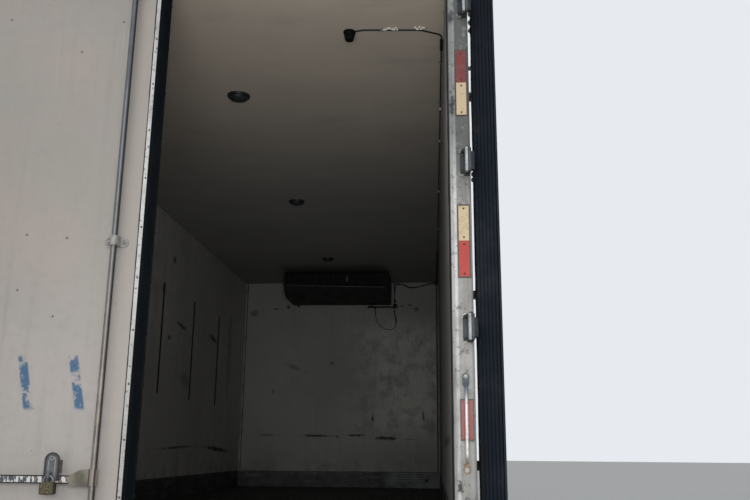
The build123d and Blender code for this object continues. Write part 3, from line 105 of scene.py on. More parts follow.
# Levels and faces of the body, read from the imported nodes
FLOOR_Z = high("floor_plate").z
CEILING_Z = low("roof_panel").z
TOP_Z = high("edge_profiles").z
PANEL_Z = low("edge_profiles").z
REAR_Y = low("rear_post_left").y
WALL_Y = high("rear_post_left").y
BULKHEAD_Y = low("front_wall").y
FRONT_Y = high("front_wall").y
WALL_X = high("floor_plate").x
OUTER_X = high("edge_profiles").x
KICK_Z = high("kick_plates").z

# The shut left door, and the faces that its fixings sit on
TRIM_FACE_Y = low("door_left_trim").y
TRIM_BACK_Y = high("door_left_trim").y
BULB_Y = high("door_left_gasket").y
HINGE_EDGE_X = low("door_left_trim").x
LEFT_EDGE_X = high("door_left_trim").x
RIGHT_EDGE_X = LEFT_EDGE_X - 0.030
DOOR_FOOT_Z = low("door_left_trim").z
DOOR_HEAD_Z = high("door_left_trim").z
TRIM_LEG = 0.020
STRAP_FACE_Y = TRIM_FACE_Y - 0.005
GUIDE_FACE_Y = TRIM_FACE_Y - 0.004
PANEL_FACE_Y = TRIM_FACE_Y + 0.002
ROD_X = -0.107
HASP_X = -0.257
HINGE_ROWS = (0.205, 0.881, 1.543, 2.240)
GUIDE_ROWS = (0.120, 1.225, 2.350)
PLATE_ROWS = ((1.893, 2.038), (1.748, 1.893), (1.224, 1.369), (1.079, 1.224), (0.469, 0.614))
PLATE_GROUPS = ((1.748, 2.038), (1.079, 1.369), (0.469, 0.614))
PLATE_X = 1.271
SHACKLE_Z = 0.579

# Fixings of the doors and of the rear frame: columns and rows, and how far a pair's bolts are from their middle
TRIM_RIVET_ROWS = [FLOOR_Z + 0.046 + 0.2072 * k for k in range(12)]
STRAP_BOLTS_X = (-1.18, -1.11, -1.04)
GUIDE_BOLTS = (-0.034, 0.034)
HINGE_BOLTS = (-0.046, 0.046)
HINGE_PLATE_X = 1.268
KEEPER_BOLTS = (-0.027, 0.027)
KEEPER_ROWS_Z = (0.233, 2.799)
GRAB_X = 1.267
GRAB_ROWS = (0.362, 0.700)
BUFFER_BOLTS_X = (1.0, 1.12)
BUFFER_Z = 0.160
HEADER_Z, THRESHOLD_Z = 2.782, 0.262
KEEPER_HALF_WIDTH = 0.05

# Fixed places in the load space, from the rear face on, and on the condensing unit
LAMP_PLACES = (1.340, 3.450, 5.560)
LAMP_SCREWS_OUT = 0.056
STRIP_PLACES = (3.800, 4.730, 5.680)
CABLE_Y, CABLE_Z = REAR_Y + 0.600, CEILING_Z - 0.0085
CABLE_TIES_Y = (-1.93, -1.40, -0.30, 0.85)
FAN_X, FAN_Z = 0.400, 2.469
GUARD_SCREWS_OUT = 0.206


class Leaf:
    """One rear door, and how a point or direction of the shut left door lies on it as it stands at rest."""

    def __init__(self, side, edge_x):
        joint = next(j for j in frame["joints"] if j["child"] == f"{side}_door")
        self.side, self.body, self.edge_x = side, f"{side}_door", edge_x
        self.pin = Vector(joint["pos_m"])
        self.turn = Matrix.Identity(3)
        if side == "right":
            opened = -math.radians(joint["range_deg"][0])
            self.turn = Matrix.Rotation(opened, 3, "Z") @ Matrix.Diagonal((-1.0, 1.0, 1.0))
        self.left_pin = Vector((-abs(self.pin.x), self.pin.y, self.pin.z))

    def at(self, x, y, z):
        """Where a point of the shut left door is on this door."""
        return self.turn @ (Vector((x, y, z)) - self.left_pin) + self.pin

    def way(self, direction):
        """Where a direction of the shut left door points on this door."""
        return self.turn @ Vector(direction)

    def spots(self, y, direction, places):
        """Spots at those places (x, z) of one face."""
        return [(self.at(x, y, z), self.way(direction)) for x, z in places]


LEAVES = (Leaf("left", LEFT_EDGE_X), Leaf("right", RIGHT_EDGE_X))


def shade(colour, factor):
    """A colour made darker or lighter by a factor."""
    return tuple(channel * factor for channel in colour[:3])


def feed(tree, socket, value):
    """Link or set one input of a node; a single number for a colour is a grey."""
    value = value.socket if isinstance(value, Value) else value
    if isinstance(value, bpy.types.NodeSocket):
        tree.links.new(value, socket)
    elif socket.type == "RGBA":
        socket.default_value = (*((value,) * 3 if isinstance(value, float) else value[:3]), 1.0)
    else:
        socket.default_value = value


def add_node(tree, kind, settings, values):
    """A node with its settings made first, then the values or links of its sockets."""
    node = tree.nodes.new(kind)
    for name, value in settings.items():
        setattr(node, name, value)
    for key, value in values.items() if isinstance(values, dict) else enumerate(values):
        feed(tree, node.inputs[key], value)
    return node


class Value:
    """One number of a material or geometry tree, so that sums on it are written as Python expressions."""

    def __init__(self, tree, socket):
        self.tree, self.socket = tree, socket

    def join(self, operation, *others, clamp=False):
        node = add_node(self.tree, "ShaderNodeMath", {"operation": operation, "use_clamp": clamp}, others)
        return Value(self.tree, node.outputs[0])

    def __add__(self, other):
        return self.join("ADD", self, other)

    def __sub__(self, other):
        return self.join("SUBTRACT", self, other)

    def __rsub__(self, other):
        return self.join("SUBTRACT", other, self)

    def __mul__(self, other):
        return self.join("MULTIPLY", self, other)

    __radd__ = __add__
    __rmul__ = __mul__

    def between(self, start, end, to_start=0.0, to_end=1.0):
        """A smooth step from one number to another as this one goes from start to end."""
        values = {"Value": self, "From Min": start, "From Max": end, "To Min": to_start, "To Max": to_end}
        node = add_node(self.tree, "ShaderNodeMapRange", {"interpolation_type": "SMOOTHSTEP"}, values)
        return Value(self.tree, node.outputs[0])

    def band(self, start, end, soft):
        """1 between start and end, 0 outside, with soft edges."""
        return self.between(start - soft, start + soft) * self.between(end - soft, end + soft, 1.0, 0.0)

    def most(self, other):
        return self.join("MAXIMUM", self, other)

    def size(self):
        return self.join("ABSOLUTE", self)

    def root(self):
        return self.join("SQRT", self)

    def clamped(self):
        return self.join("ADD", self, 0.0, clamp=True)

    def ripple(self, pitch):
        """A wave of that pitch along this number, from 0 to 1."""
        return self.join("SINE", self * (2.0 * math.pi / pitch)) * 0.5 + 0.5


class Paint:
    """A material whose nodes read the object's own coordinates, laid on in coats."""

    def __init__(self, name, rough=0.5, metal=0.0, specular=0.5):
        self.material = bpy.data.materials.new(name)
        self.material.use_nodes = True
        self.tree = self.material.node_tree
        self.tree.nodes.clear()
        out = self.tree.nodes.new("ShaderNodeOutputMaterial")
        self.shader = self.tree.nodes.new("ShaderNodeBsdfPrincipled")
        self.tree.links.new(self.shader.outputs[0], out.inputs["Surface"])
        self.place = self.tree.nodes.new("ShaderNodeTexCoord").outputs["Object"]
        parts = self.add("ShaderNodeSeparateXYZ", {}, [self.place])
        self.x, self.y, self.z = (Value(self.tree, socket) for socket in parts.outputs)
        self.height = self.z - FLOOR_Z
        self.made, self.base = {}, None
        self.set("Roughness", rough)
        self.set("Metallic", metal)
        self.set("Specular IOR Level", specular)

    def add(self, kind, settings, values):
        return add_node(self.tree, kind, settings, values)

    def set(self, name, value):
        feed(self.tree, self.shader.inputs[name], value)

    def stretched(self, x, y, z):
        """The object's coordinates, scaled unequally."""
        return self.add("ShaderNodeMapping", {}, {"Vector": self.place, "Scale": (x, y, z)}).outputs[0]

    def noise(self, scale, detail=3.0, rough=0.55, place=None):
        """Cloudy noise; the same noise is made only once."""
        key = (scale, detail, rough, place)
        if key not in self.made:
            values = {"Vector": place or self.place, "Scale": scale, "Detail": detail, "Roughness": rough}
            self.made[key] = Value(self.tree, self.add("ShaderNodeTexNoise", {}, values).outputs[0])
        return self.made[key]

    def spots(self, scale, detail, rough, start, end):
        """Ragged spots: noise cut off softly from start to end."""
        return self.noise(scale, detail, rough).between(start, end)

    def cells(self, scale):
        values = {"Vector": self.place, "Scale": scale}
        return Value(self.tree, self.add("ShaderNodeTexVoronoi", {}, values).outputs["Distance"])

    def specks(self, pitch, radius, share):
        """Small round specks, one to a cell of that pitch, with only a share of them left in."""
        near = self.cells(1.0 / pitch).between(radius / pitch * 0.6, radius / pitch, 1.0, 0.0)
        return near * self.noise(0.45 / pitch, 1.0).between(1.0 - share, 1.02 - share)

    def streaks(self, start=0.5, end=0.8, fine=7.0):
        """Thin stains that run down."""
        return self.noise(3.0, 4.0, 0.6, self.stretched(fine, fine, 0.35)).between(start, end)

    def scratches(self, scale=60.0, along=(1.0, 1.0, 0.08)):
        """Fine lines drawn out along one axis."""
        return self.noise(scale, 3.0, 0.6, self.stretched(*along))

    def mixed(self, amount, first, second):
        """A colour between two colours."""
        return self.add("ShaderNodeMix", {"data_type": "RGBA"}, {0: amount, 6: first, 7: second}).outputs[2]

    def over(self, amount, colour):
        """Lay a coat of a colour over what is there, as thick as the amount."""
        self.base = self.mixed(amount, self.base, colour)

    def marks(self, across, spots, colour=GRIME):
        """Ragged, soft-edged marks, as (strength, across, height, half width, half height[, slope])."""
        for strength, place, level, wide, tall, *slope in spots:
            over, rise = across - place, self.height - level
            rise = (rise - over * (slope[0] if slope else 0.0)) * (1.0 / tall)
            over = over * (1.0 / wide)
            rough = (self.noise(11.0, 5.0, 0.75) - 0.5) * 2.6 + (self.noise(70.0, 3.0, 0.7) - 0.5) * 2.0
            self.over(((over * over + rise * rise).root() + rough).between(1.15, 0.35) * strength, colour)

    def bump(self, height, depth, strength):
        node = self.add("ShaderNodeBump", {}, {"Strength": strength, "Distance": depth, "Height": height})
        self.set("Normal", node.outputs[0])

    def done(self, rough=None, *bump):
        """The finished material, with what its roughness and its bump (height, depth, strength) follow."""
        if rough is not None:
            self.set("Roughness", rough)
        if bump:
            self.bump(*bump)
        self.set("Base Color", self.base)
        return self.material


def panel(paint, outside, cloud, shell):
    """Finish a panel: coats so far inside, the shell's colour outside, both woven and a little wavy."""
    paint.over(outside, shell)
    weave = paint.noise(240.0, 2.0, 0.5) * 0.12 + paint.noise(1.6, 2.0, 0.4)
    return paint.done(outside.between(0.0, 1.0, 0.62, 0.36) + cloud * 0.16, weave, 0.004, 0.45)


def skin_paint(name, inner, outer, side, painted_shade=None, stains=(), lighter=None):
    """Glass-fibre panel skin: grimy inside, rain-streaked outside.

    side is the axis, the level between the two skins and the sign of the outer one. painted_shade is a colour
    painted as shade on the inside near the doorway and low down. stains are the inside's marks. lighter is a
    patch painted paler as painted light, broken up by noise, as (start, end, lowest, highest, factor) along the wall.
    """
    paint = Paint(name, 0.5, 0.0, 0.35)
    axis, level, sign = side
    outside = (getattr(paint, axis) * sign).between(level * sign - 0.004, level * sign + 0.004)
    cloud = paint.noise(0.9, 5.0, 0.62)
    fleck = paint.noise(5.5, 5.0, 0.7)
    streak = paint.streaks(0.48, 0.8)
    across = paint.y if axis == "x" else paint.x
    paint.base = inner
    # Near the doorway and low down, painted shade darkens the inside.
    if painted_shade:
        unshaded = paint.y.between(REAR_Y + 0.3, REAR_Y + 3.9).most(paint.height.between(0.9, 2.7) * 0.8)
        paint.base = paint.mixed(unshaded, painted_shade, inner)
    # The lighter patch is painted light, broken up by noise.
    if lighter:
        start, end, lowest, highest, factor = lighter
        wash = across.between(start, end) * paint.height.band(lowest, highest, 0.25)
        paint.over(wash * fleck.between(0.3, 0.6), shade(inner, factor))
    paint.over(cloud.between(0.38, 0.72) * 0.4, shade(inner, 0.66))
    paint.over(fleck.between(0.52, 0.74) * 0.26, shade(inner, 0.5))
    paint.over(streak * 0.2, shade(inner, 0.5))
    paint.over(paint.specks(0.13, 0.007, 0.46) * 0.7, GRIME)
    foot = paint.height.between(0.18, 0.52, 1.0, 0.0) * paint.spots(6.0, 5.0, 0.7, 0.4, 0.66)
    paint.over(foot * 0.35, GRIME)
    paint.marks(across, stains)
    rain = (streak * 0.45 + cloud.between(0.45, 0.8) * 0.35).clamped()
    spray = paint.height.between(-0.10, 0.85, 0.55, 0.0) * paint.spots(2.2, 5.0, 0.6, 0.15, 0.85)
    shell = paint.mixed(spray, paint.mixed(rain * 0.5, outer, shade(outer, 0.66)), (0.20, 0.175, 0.145))
    return panel(paint, outside, cloud, shell)


def roof_paint(inner, outer, rear_end):
    """Ceiling and roof skin: paler and warmer by the doorway as painted light, grey farther in, with painted shadow
    and some grime before the evaporator.
    """
    paint = Paint("roof", 0.5, 0.0, 0.35)
    outside = paint.z.between(CEILING_Z + 0.036, CEILING_Z + 0.044)
    cloud = paint.noise(0.9, 5.0, 0.62)
    wipe = paint.noise(4.0, 5.0, 0.65, paint.stretched(0.35, 1.6, 1.0))
    # Paler and warmer towards the doorway: painted light.
    paint.base = paint.mixed(paint.y.between(REAR_Y + 0.3, REAR_Y + 3.9), rear_end, inner)
    paint.over(cloud.between(0.38, 0.72) * 0.3, shade(inner, 0.66))
    paint.over(wipe.between(0.5, 0.75) * 0.14, shade(rear_end, 1.2))
    paint.over(wipe.between(0.46, 0.3) * 0.12, shade(inner, 0.5))
    paint.over(paint.specks(0.13, 0.006, 0.46) * 0.6, GRIME)
    # Painted shadow, with some grime, on the ceiling before the evaporator.
    drift = (paint.noise(3.0, 4.0, 0.6) - 0.5) * 0.25
    start = low("evaporator_housing").y
    front = (paint.y + drift).between(start - 0.55, start)
    painted_shade = front * (paint.x + drift * 0.5).band(-0.60, 0.62, 0.09)
    paint.over(painted_shade * 0.8, (0.05, 0.048, 0.045))
    paint.over(paint.y.between(0.9, 3.3) * 0.35, (0.10, 0.098, 0.095))
    rain = (paint.spots(5.5, 5.0, 0.7, 0.45, 0.7) * 0.5 + cloud.between(0.45, 0.8) * 0.35).clamped()
    return panel(paint, outside, cloud, paint.mixed(rain * 0.6, outer, shade(outer, 0.6)))


def turned_out(paint):
    """1 on the outer face of the right door as it stands open, 0 farther in."""
    leaf = LEAVES[1]
    face, way = leaf.at(0.0, PANEL_FACE_Y, 0.0), leaf.way(BACK)
    return ((paint.x - face.x) * way.x + (paint.y - face.y) * way.y).between(-0.03, -0.01)


def door_paint(name, colour, marked):
    """Door skin: pale enamel gone dull, with rain streaks, rubbed patches, specks and worn blue bars."""
    paint = Paint(name, 0.42, 0.0, 0.4)
    cloud = paint.noise(1.1, 5.0, 0.6)
    grain = paint.noise(26.0, 4.0, 0.6)
    warm = tuple(a * b for a, b in zip(colour, (1.06, 0.985, 0.95)))
    cold = tuple(a * b for a, b in zip(colour, (0.97, 0.985, 0.94)))
    paint.base = paint.mixed(paint.spots(2.3, 3.0, 0.5, 0.36, 0.64), warm, cold)
    paint.base = paint.mixed(paint.height.between(0.1, 1.6), shade(colour, 1.3), paint.base)
    paint.over(cloud.between(0.35, 0.75) * 0.4, shade(colour, 0.80))
    paint.over(grain.between(0.45, 0.7) * 0.22, shade(colour, 0.84))
    paint.over(paint.streaks(0.5, 0.85, 11.0) * 0.32, shade(colour, 0.70))
    paint.over(paint.scratches(34.0, (1.0, 1.0, 0.05)).between(0.62, 0.74) * 0.35, shade(colour, 1.3))
    paint.over(paint.specks(0.16, 0.006, 0.5) * 0.8, GRIME)
    paint.over(paint.specks(0.055, 0.0030, 0.46) * 0.7, (0.15, 0.11, 0.08))
    if marked:
        paint.over(paint.x.band(ROD_X + 0.016, LEFT_EDGE_X - 0.022, 0.004) * 0.35, shade(warm, 1.14))
        for x, z in ((-0.664, 2.23), (-0.163, 2.205), (-0.335, 2.068), (-0.484, 1.262), (-0.316, 1.247)):
            hole = paint.x.band(x - 0.005, x + 0.005, 0.003) * paint.height.band(z - 0.004, z + 0.004, 0.003)
            paint.over(hole * 0.85, GRIME)
        worn = paint.spots(21.0, 5.0, 0.75, 0.43, 0.52)
        outside = paint.y.between(PANEL_FACE_Y + 0.01, PANEL_FACE_Y + 0.02, 1.0, 0.0)
        for start, end in ((-0.440, -0.404), (-0.237, -0.200)):
            slant = paint.x + (paint.height - 0.67) * 0.22
            bar = slant.band(start, end, 0.005) * paint.height.band(0.572, 0.775, 0.01)
            paint.over(bar * worn * outside * 0.9, (0.022, 0.105, 0.215))
    else:
        # The right door's outer face, in the gap by the wall, is browned as painted shade.
        paint.over(turned_out(paint) * (cloud.between(0.3, 0.7) * 0.25 + 0.12), (0.15, 0.11, 0.07))
        paint.set("Specular IOR Level", 0.05)
    rough = 0.36 + cloud * 0.22 if marked else 0.9
    return paint.done(rough, grain * 0.08 + paint.noise(1.3, 2.0, 0.4), 0.004, 0.5)


def metal_paint(name, colour, rough=0.38, metal=0.85, rust=0.0, scale=1.0, specular=0.5, patchy=1.0):
    """Weathered metal: fine scratches, dull blotches and, where asked, spots of rust."""
    paint = Paint(name, rough, metal, specular)
    blotch = paint.noise(9.0 * scale, 4.0, 0.6)
    scratch = paint.scratches(60.0 * scale)
    paint.base = paint.mixed(blotch.between(0.35, 0.75) * patchy, colour, shade(colour, 0.55))
    paint.over(scratch.between(0.55, 0.75) * 0.5, shade(colour, 1.3))
    paint.over(paint.spots(70.0 * scale, 4.0, 0.7, 0.58, 0.7) * (0.5 * patchy), GRIME)
    edge = 0.64 - 0.22 * rust
    rusty = paint.spots(22.0 * scale, 5.0, 0.7, edge, edge + 0.14) * min(1.0, rust * 3.0)
    paint.over(rusty, RUST)
    paint.set("Metallic", (1.0 - rusty) * metal)
    return paint.done(rough + blotch * 0.3 + rusty * 0.25, scratch * 0.4 + rusty * 0.8, 0.0008, 0.7)


def post_paint():
    """Rear frame sheet: dark and cold high up as painted shade, paler low down; its inner edge strip paler, partly
    smooth trim and partly a painted sky reflection; its inner side painted dark as shade; speckled all over.
    """
    paint = Paint("rear_frame_steel", 0.5, 0.15, 0.35)
    across = paint.x.size()
    # Face and edge strip both darker high up: painted shade.
    face = paint.mixed(paint.height.between(1.25, 1.65), (0.34, 0.333, 0.312), (0.118, 0.123, 0.115))
    edge = paint.mixed(paint.height.between(1.40, 1.70), (0.60, 0.60, 0.578), (0.33, 0.355, 0.345))
    edge = paint.mixed(paint.height.between(0.42, 0.62, 1.0, 0.0), edge, (0.56, 0.56, 0.54))
    paint.base = paint.mixed(across.between(WALL_X + 0.022, WALL_X + 0.028), edge, face)
    blotch = paint.noise(7.0, 5.0, 0.68)
    fine = paint.noise(58.0, 4.0, 0.7)
    paint.over(blotch.between(0.42, 0.7) * 0.45, (0.15, 0.15, 0.145))
    paint.over(fine.between(0.54, 0.68) * 0.30, (0.46, 0.46, 0.45))
    paint.over(paint.spots(33.0, 5.0, 0.75, 0.55, 0.67) * 0.7, (0.065, 0.062, 0.058))
    paint.over(paint.streaks(0.5, 0.7, 16.0) * 0.4, (0.11, 0.10, 0.09))
    paint.over(paint.specks(0.04, 0.0035, 0.5), RUST)
    marks = (
        (0.9, 1.234, 1.79, 0.011, 0.045), (0.95, 1.242, 0.307, 0.014, 0.030),
        (0.8, 1.232, 2.19, 0.016, 0.035), (0.6, 1.265, 0.250, 0.012, 0.020),
    )
    paint.marks(paint.x, marks, (0.035, 0.037, 0.042))
    # Painted contact shade, with grime, round the reflective plates.
    for start, end in PLATE_GROUPS:
        ring = across.band(1.2445, 1.2965, 0.001) * paint.height.band(start - 0.004, end + 0.004, 0.001)
        paint.over(ring * 0.75, (0.055, 0.05, 0.045))
    # The post's inner side is painted dark: painted shade.
    reveal = across.between(WALL_X + 0.001, WALL_X + 0.003, 1.0, 0.0)
    painted_reveal_shade = paint.mixed(paint.spots(6.0, 5.0, 0.7, 0.35, 0.65), (0.13, 0.127, 0.115), (0.05, 0.047, 0.042))
    paint.over(reveal, painted_reveal_shade)
    paint.over(paint.height.between(-0.16, 0.02, 0.7, 0.0) * blotch.between(0.3, 0.6), (0.12, 0.10, 0.08))
    return paint.done(0.42 + blotch * 0.3, fine * 0.3 + blotch, 0.0012, 0.6)


def trim_paint(name, open_door):
    """Riveted edge trim: bright worn enamel, grimy in streaks and freckled, browned on the right door's face as
    painted shade.
    """
    paint = Paint(name, 0.42, 0.1, 0.15 if open_door else 0.4)
    blotch = paint.noise(8.0, 5.0, 0.65)
    paint.base = paint.mixed(paint.height.between(0.3, 1.4), (0.47, 0.455, 0.43), (0.60, 0.60, 0.59))
    paint.over(blotch.between(0.42, 0.7) * 0.5, (0.30, 0.295, 0.28))
    paint.over(paint.streaks(0.52, 0.75, 20.0) * 0.4, (0.17, 0.16, 0.15))
    paint.over(paint.spots(62.0, 4.0, 0.72, 0.55, 0.64) * 0.75, (0.08, 0.076, 0.07))
    # On the right door's outer face the trim is browned as painted shade.
    if open_door:
        paint.over(turned_out(paint) * blotch.between(0.3, 0.6, 0.3, 0.6), (0.19, 0.145, 0.085))
    return paint.done(0.4 + blotch * 0.25, blotch, 0.0008, 0.5)


def hinge_paint(name, plate, barrel):
    """Hinge steel: blue-black plates, dark knuckle ends, a painted highlight down the barrel beside a painted shade
    line, and painted shade past the pivot.
    """
    paint = Paint(name, 0.42, 0.2, 0.3)
    pin_x = abs(LEAVES[0].pin.x)
    across, out = paint.x.size(), paint.y - LEAVES[0].pin.y
    near = across.band(pin_x - 0.0135, pin_x + 0.0135, 0.0006) * out.band(-0.02, 0.0135, 0.0006)
    # A painted highlight down the barrel, a painted shade line beside it, and painted shade past the pivot.
    painted_highlight = across.band(pin_x - 0.0100, pin_x - 0.0005, 0.0020)
    line = across.band(pin_x + 0.0012, pin_x + 0.0034, 0.0008)
    painted_pivot_shade = across.between(pin_x + 0.0130, pin_x + 0.0150) * out.band(-0.034, 0.034, 0.003)
    blotch = paint.noise(18.0, 5.0, 0.7)
    round_part = paint.mixed(line * 0.9, paint.mixed(painted_highlight, barrel, (0.50, 0.52, 0.53)), (0.02, 0.02, 0.022))
    flat_part = paint.mixed(across.between(1.262, 1.266), plate, (0.045, 0.050, 0.056))
    paint.base = paint.mixed(near, flat_part, round_part)
    paint.over(painted_pivot_shade * 0.85, (0.020, 0.021, 0.028))
    paint.over(blotch.between(0.42, 0.7) * 0.5, shade(plate, 0.5))
    paint.over(paint.spots(44.0, 5.0, 0.72, 0.6, 0.7) * 0.6, RUST)
    for z in HINGE_ROWS:
        paint.over((paint.height - z).size().band(0.0505, 0.0575, 0.001) * 0.9, (0.016, 0.016, 0.018))
    return paint.done(0.36 + blotch * 0.3, blotch, 0.0008, 0.6)


def bracket_paint():
    """Rod guides and hasps: dull zinc with grime round their edges; the left hasp has a bright worn rim."""
    paint = Paint("bracket_zinc", 0.42, 0.35, 0.4)
    blotch = paint.noise(16.0, 5.0, 0.7)
    paint.base = paint.mixed(blotch.between(0.4, 0.68), (0.33, 0.32, 0.30), (0.14, 0.135, 0.125))
    across = paint.x - HASP_X
    above = (paint.z - (FLOOR_Z + 0.385)).most(0.0)
    arch = (across * across + above * above).root()
    hasp = paint.x.band(-0.290, -0.226, 0.001) * paint.z.band(FLOOR_Z + 0.30, FLOOR_Z + 0.42, 0.001)
    inner = paint.mixed(arch.band(0.0105, 0.0145, 0.001), (0.135, 0.137, 0.142), 0.30)
    faced = paint.mixed(arch.between(0.0205, 0.0225), inner, (0.050, 0.050, 0.052))
    rise = paint.height - 0.392
    ring = (across * across + rise * rise).root()
    faced = paint.mixed(ring.band(0.0040, 0.0065, 0.0008), faced, 0.50)
    faced = paint.mixed(ring.between(0.0045, 0.0035), faced, 0.02)
    paint.over(hasp, paint.mixed(blotch.between(0.45, 0.7) * 0.6, faced, (0.05, 0.048, 0.045)))
    rusty = paint.spots(38.0, 5.0, 0.72, 0.58, 0.7)
    paint.over(rusty * 0.6, (0.13, 0.07, 0.04))
    return paint.done(0.38 + blotch * 0.3, blotch + rusty, 0.0007, 0.6)


def rubber_paint(name, colour, dust=0.35, specular=0.18):
    """Black rubber with a film of dust and fine scuffs."""
    paint = Paint(name, 0.62, 0.0, specular)
    film = paint.noise(7.0, 5.0, 0.65)
    scuff = paint.scratches(90.0, (1.0, 1.0, 0.12))
    paint.base = paint.mixed(film.between(0.42, 0.8) * dust, colour, (0.075, 0.08, 0.085))
    paint.over(scuff.between(0.62, 0.8) * dust, 0.10)
    return paint.done(0.5 + film * 0.3, scuff, 0.0006, 0.6)


def plastic_paint(name, colour, rough=0.45, grain=160.0, specular=0.4):
    """Moulded plastic with a fine grain, faded in patches."""
    paint = Paint(name, rough, 0.0, specular)
    fade = paint.noise(5.0, 3.0, 0.5)
    paint.base = paint.mixed(fade.between(0.3, 0.8) * 0.5, colour, shade(colour, 1.35))
    paint.over(paint.spots(40.0, 4.0, 0.7, 0.62, 0.74) * 0.35, GRIME)
    return paint.done(rough + fade * 0.2, paint.noise(grain, 2.0, 0.5), 0.0004, 0.6)


def reflector_paint():
    """Reflective plates, red and cream in turn, with a fine prism grid, grime and brown specks."""
    paint = Paint("reflective_plate", 0.42, 0.0, 0.35)
    pale = paint.height.band(*PLATE_ROWS[1], 0.0008).most(paint.height.band(*PLATE_ROWS[2], 0.0008))
    upper, lower = paint.height.between(1.45, 1.8), paint.height.between(0.7, 0.9, 1.0, 0.0)
    prism = paint.cells(260.0)
    red = paint.mixed(upper, (0.43, 0.040, 0.030), (0.135, 0.030, 0.032))
    red = paint.mixed(lower, red, (0.25, 0.034, 0.030))
    cream = paint.mixed(prism * 0.4, (0.58, 0.455, 0.285), (0.66, 0.55, 0.38))
    paint.base = paint.mixed(pale, paint.mixed(prism * 0.25, red, (0.60, 0.12, 0.10)), cream)
    paint.over(paint.spots(24.0, 5.0, 0.72, 0.5, 0.7) * 0.4, (0.19, 0.12, 0.085))
    paint.over(paint.specks(0.018, 0.0024, 0.52) * 0.85, (0.10, 0.05, 0.028))
    border = paint.x.size().band(PLATE_X - 0.020, PLATE_X + 0.020, 0.001)
    rows = [paint.height.band(start + 0.0035, end - 0.0035, 0.001) for start, end in PLATE_GROUPS]
    inside = border * rows[0].most(rows[1]).most(rows[2])
    paint.base = paint.mixed(inside, (0.10, 0.06, 0.045), paint.base)
    paint.set("Coat Weight", 0.05)
    return paint.done(None, prism, 0.0003, 0.5)


def tread_paint():
    """Tread-plate floor, worn bright on its lugs and black with dirt between them."""
    paint = Paint("tread_floor", 0.5, 0.35, 0.3)
    crest = paint.z.between(FLOOR_Z + 0.0004, FLOOR_Z + 0.0014)
    blotch = paint.noise(2.6, 5.0, 0.65)
    paint.base = paint.mixed(blotch.between(0.35, 0.7), (0.036, 0.036, 0.037), (0.016, 0.015, 0.014))
    paint.over(crest * blotch.between(0.3, 0.6), (0.17, 0.17, 0.165))
    paint.over(paint.scratches(16.0, (1.0, 0.06, 1.0)).between(0.62, 0.74) * 0.4, 0.12)
    return paint.done(0.45 + blotch * 0.3, paint.noise(120.0, 3.0, 0.6), 0.0005, 0.6)


def kick_paint():
    """Scuffed plate round the foot of the walls, rubbed along its bead."""
    paint = Paint("kick_plate", 0.5, 0.3, 0.3)
    blotch = paint.noise(5.0, 5.0, 0.7)
    far = paint.y.between(BULKHEAD_Y - 0.1, BULKHEAD_Y - 0.02)
    paint.base = paint.mixed(far, 0.085, (0.115, 0.115, 0.112))
    rubbed = far * paint.x.between(0.50, 0.66)
    paint.over(rubbed, (0.25, 0.26, 0.265))
    paint.over(blotch.between(0.35, 0.7) * 0.6, (0.035, 0.035, 0.034))
    rub = paint.noise(30.0, 4.0, 0.6, paint.stretched(0.1, 0.1, 1.0)).between(0.54, 0.68)
    paint.over(rub * (0.4 + rubbed * 0.4), (0.30, 0.30, 0.29))
    paint.over(paint.z.ripple(0.026).between(0.7, 0.95) * rubbed * 0.6, (0.04, 0.04, 0.042))
    paint.marks(paint.x, [(far, 1.06, 0.085, 0.03, 0.03)], 0.02)
    paint.over(paint.z.band(KICK_Z - 0.012, KICK_Z + 0.01, 0.002) * 0.5, (0.17, 0.17, 0.165))
    return paint.done(0.45 + blotch * 0.3, rub, 0.001, 0.6)


def angle_paint():
    """Corner angles: a dull light leg with dark edge lines, painted as the shadow in the gaps beside it."""
    paint = Paint("corner_angle", 0.55, 0.1, 0.3)
    right, across = paint.x.between(0.0, 0.1), paint.x.size()
    # The dark edge lines are painted shadow in the gaps beside the legs.
    wide = across.band(WALL_X - 0.028, WALL_X - 0.012, 0.002)
    thin = across.band(WALL_X - 0.034, WALL_X - 0.020, 0.002)
    blotch = paint.noise(11.0, 4.0, 0.65)
    paint.base = paint.mixed(blotch.between(0.4, 0.7), (0.46, 0.45, 0.43), (0.26, 0.26, 0.25))
    paint.over(wide * right + thin * (1.0 - right) * 0.75, (0.025, 0.025, 0.024))
    return paint.done(None, blotch, 0.0006, 0.5)


def evaporator_paint():
    """Evaporator cover: nearly black, partly dirt and partly painted shade that deepens towards the ceiling, so a
    little paler low on its sloping front.
    """
    paint = Paint("evaporator_cover", 0.6, 0.0, 0.22)
    blotch = paint.noise(6.0, 5.0, 0.68)
    # Darker towards the ceiling: painted shade.
    paint.base = paint.mixed(paint.z.between(2.46, 2.60), 0.050, 0.017)
    paint.over(blotch.between(0.4, 0.7) * 0.8, 0.012)
    paint.over(paint.streaks(0.55, 0.75, 14.0) * 0.5, (0.085, 0.08, 0.072))
    paint.over(paint.spots(36.0, 4.0, 0.7, 0.58, 0.72) * 0.4, (0.09, 0.088, 0.08))
    return paint.done(0.5 + blotch * 0.3, blotch, 0.0012, 0.5)


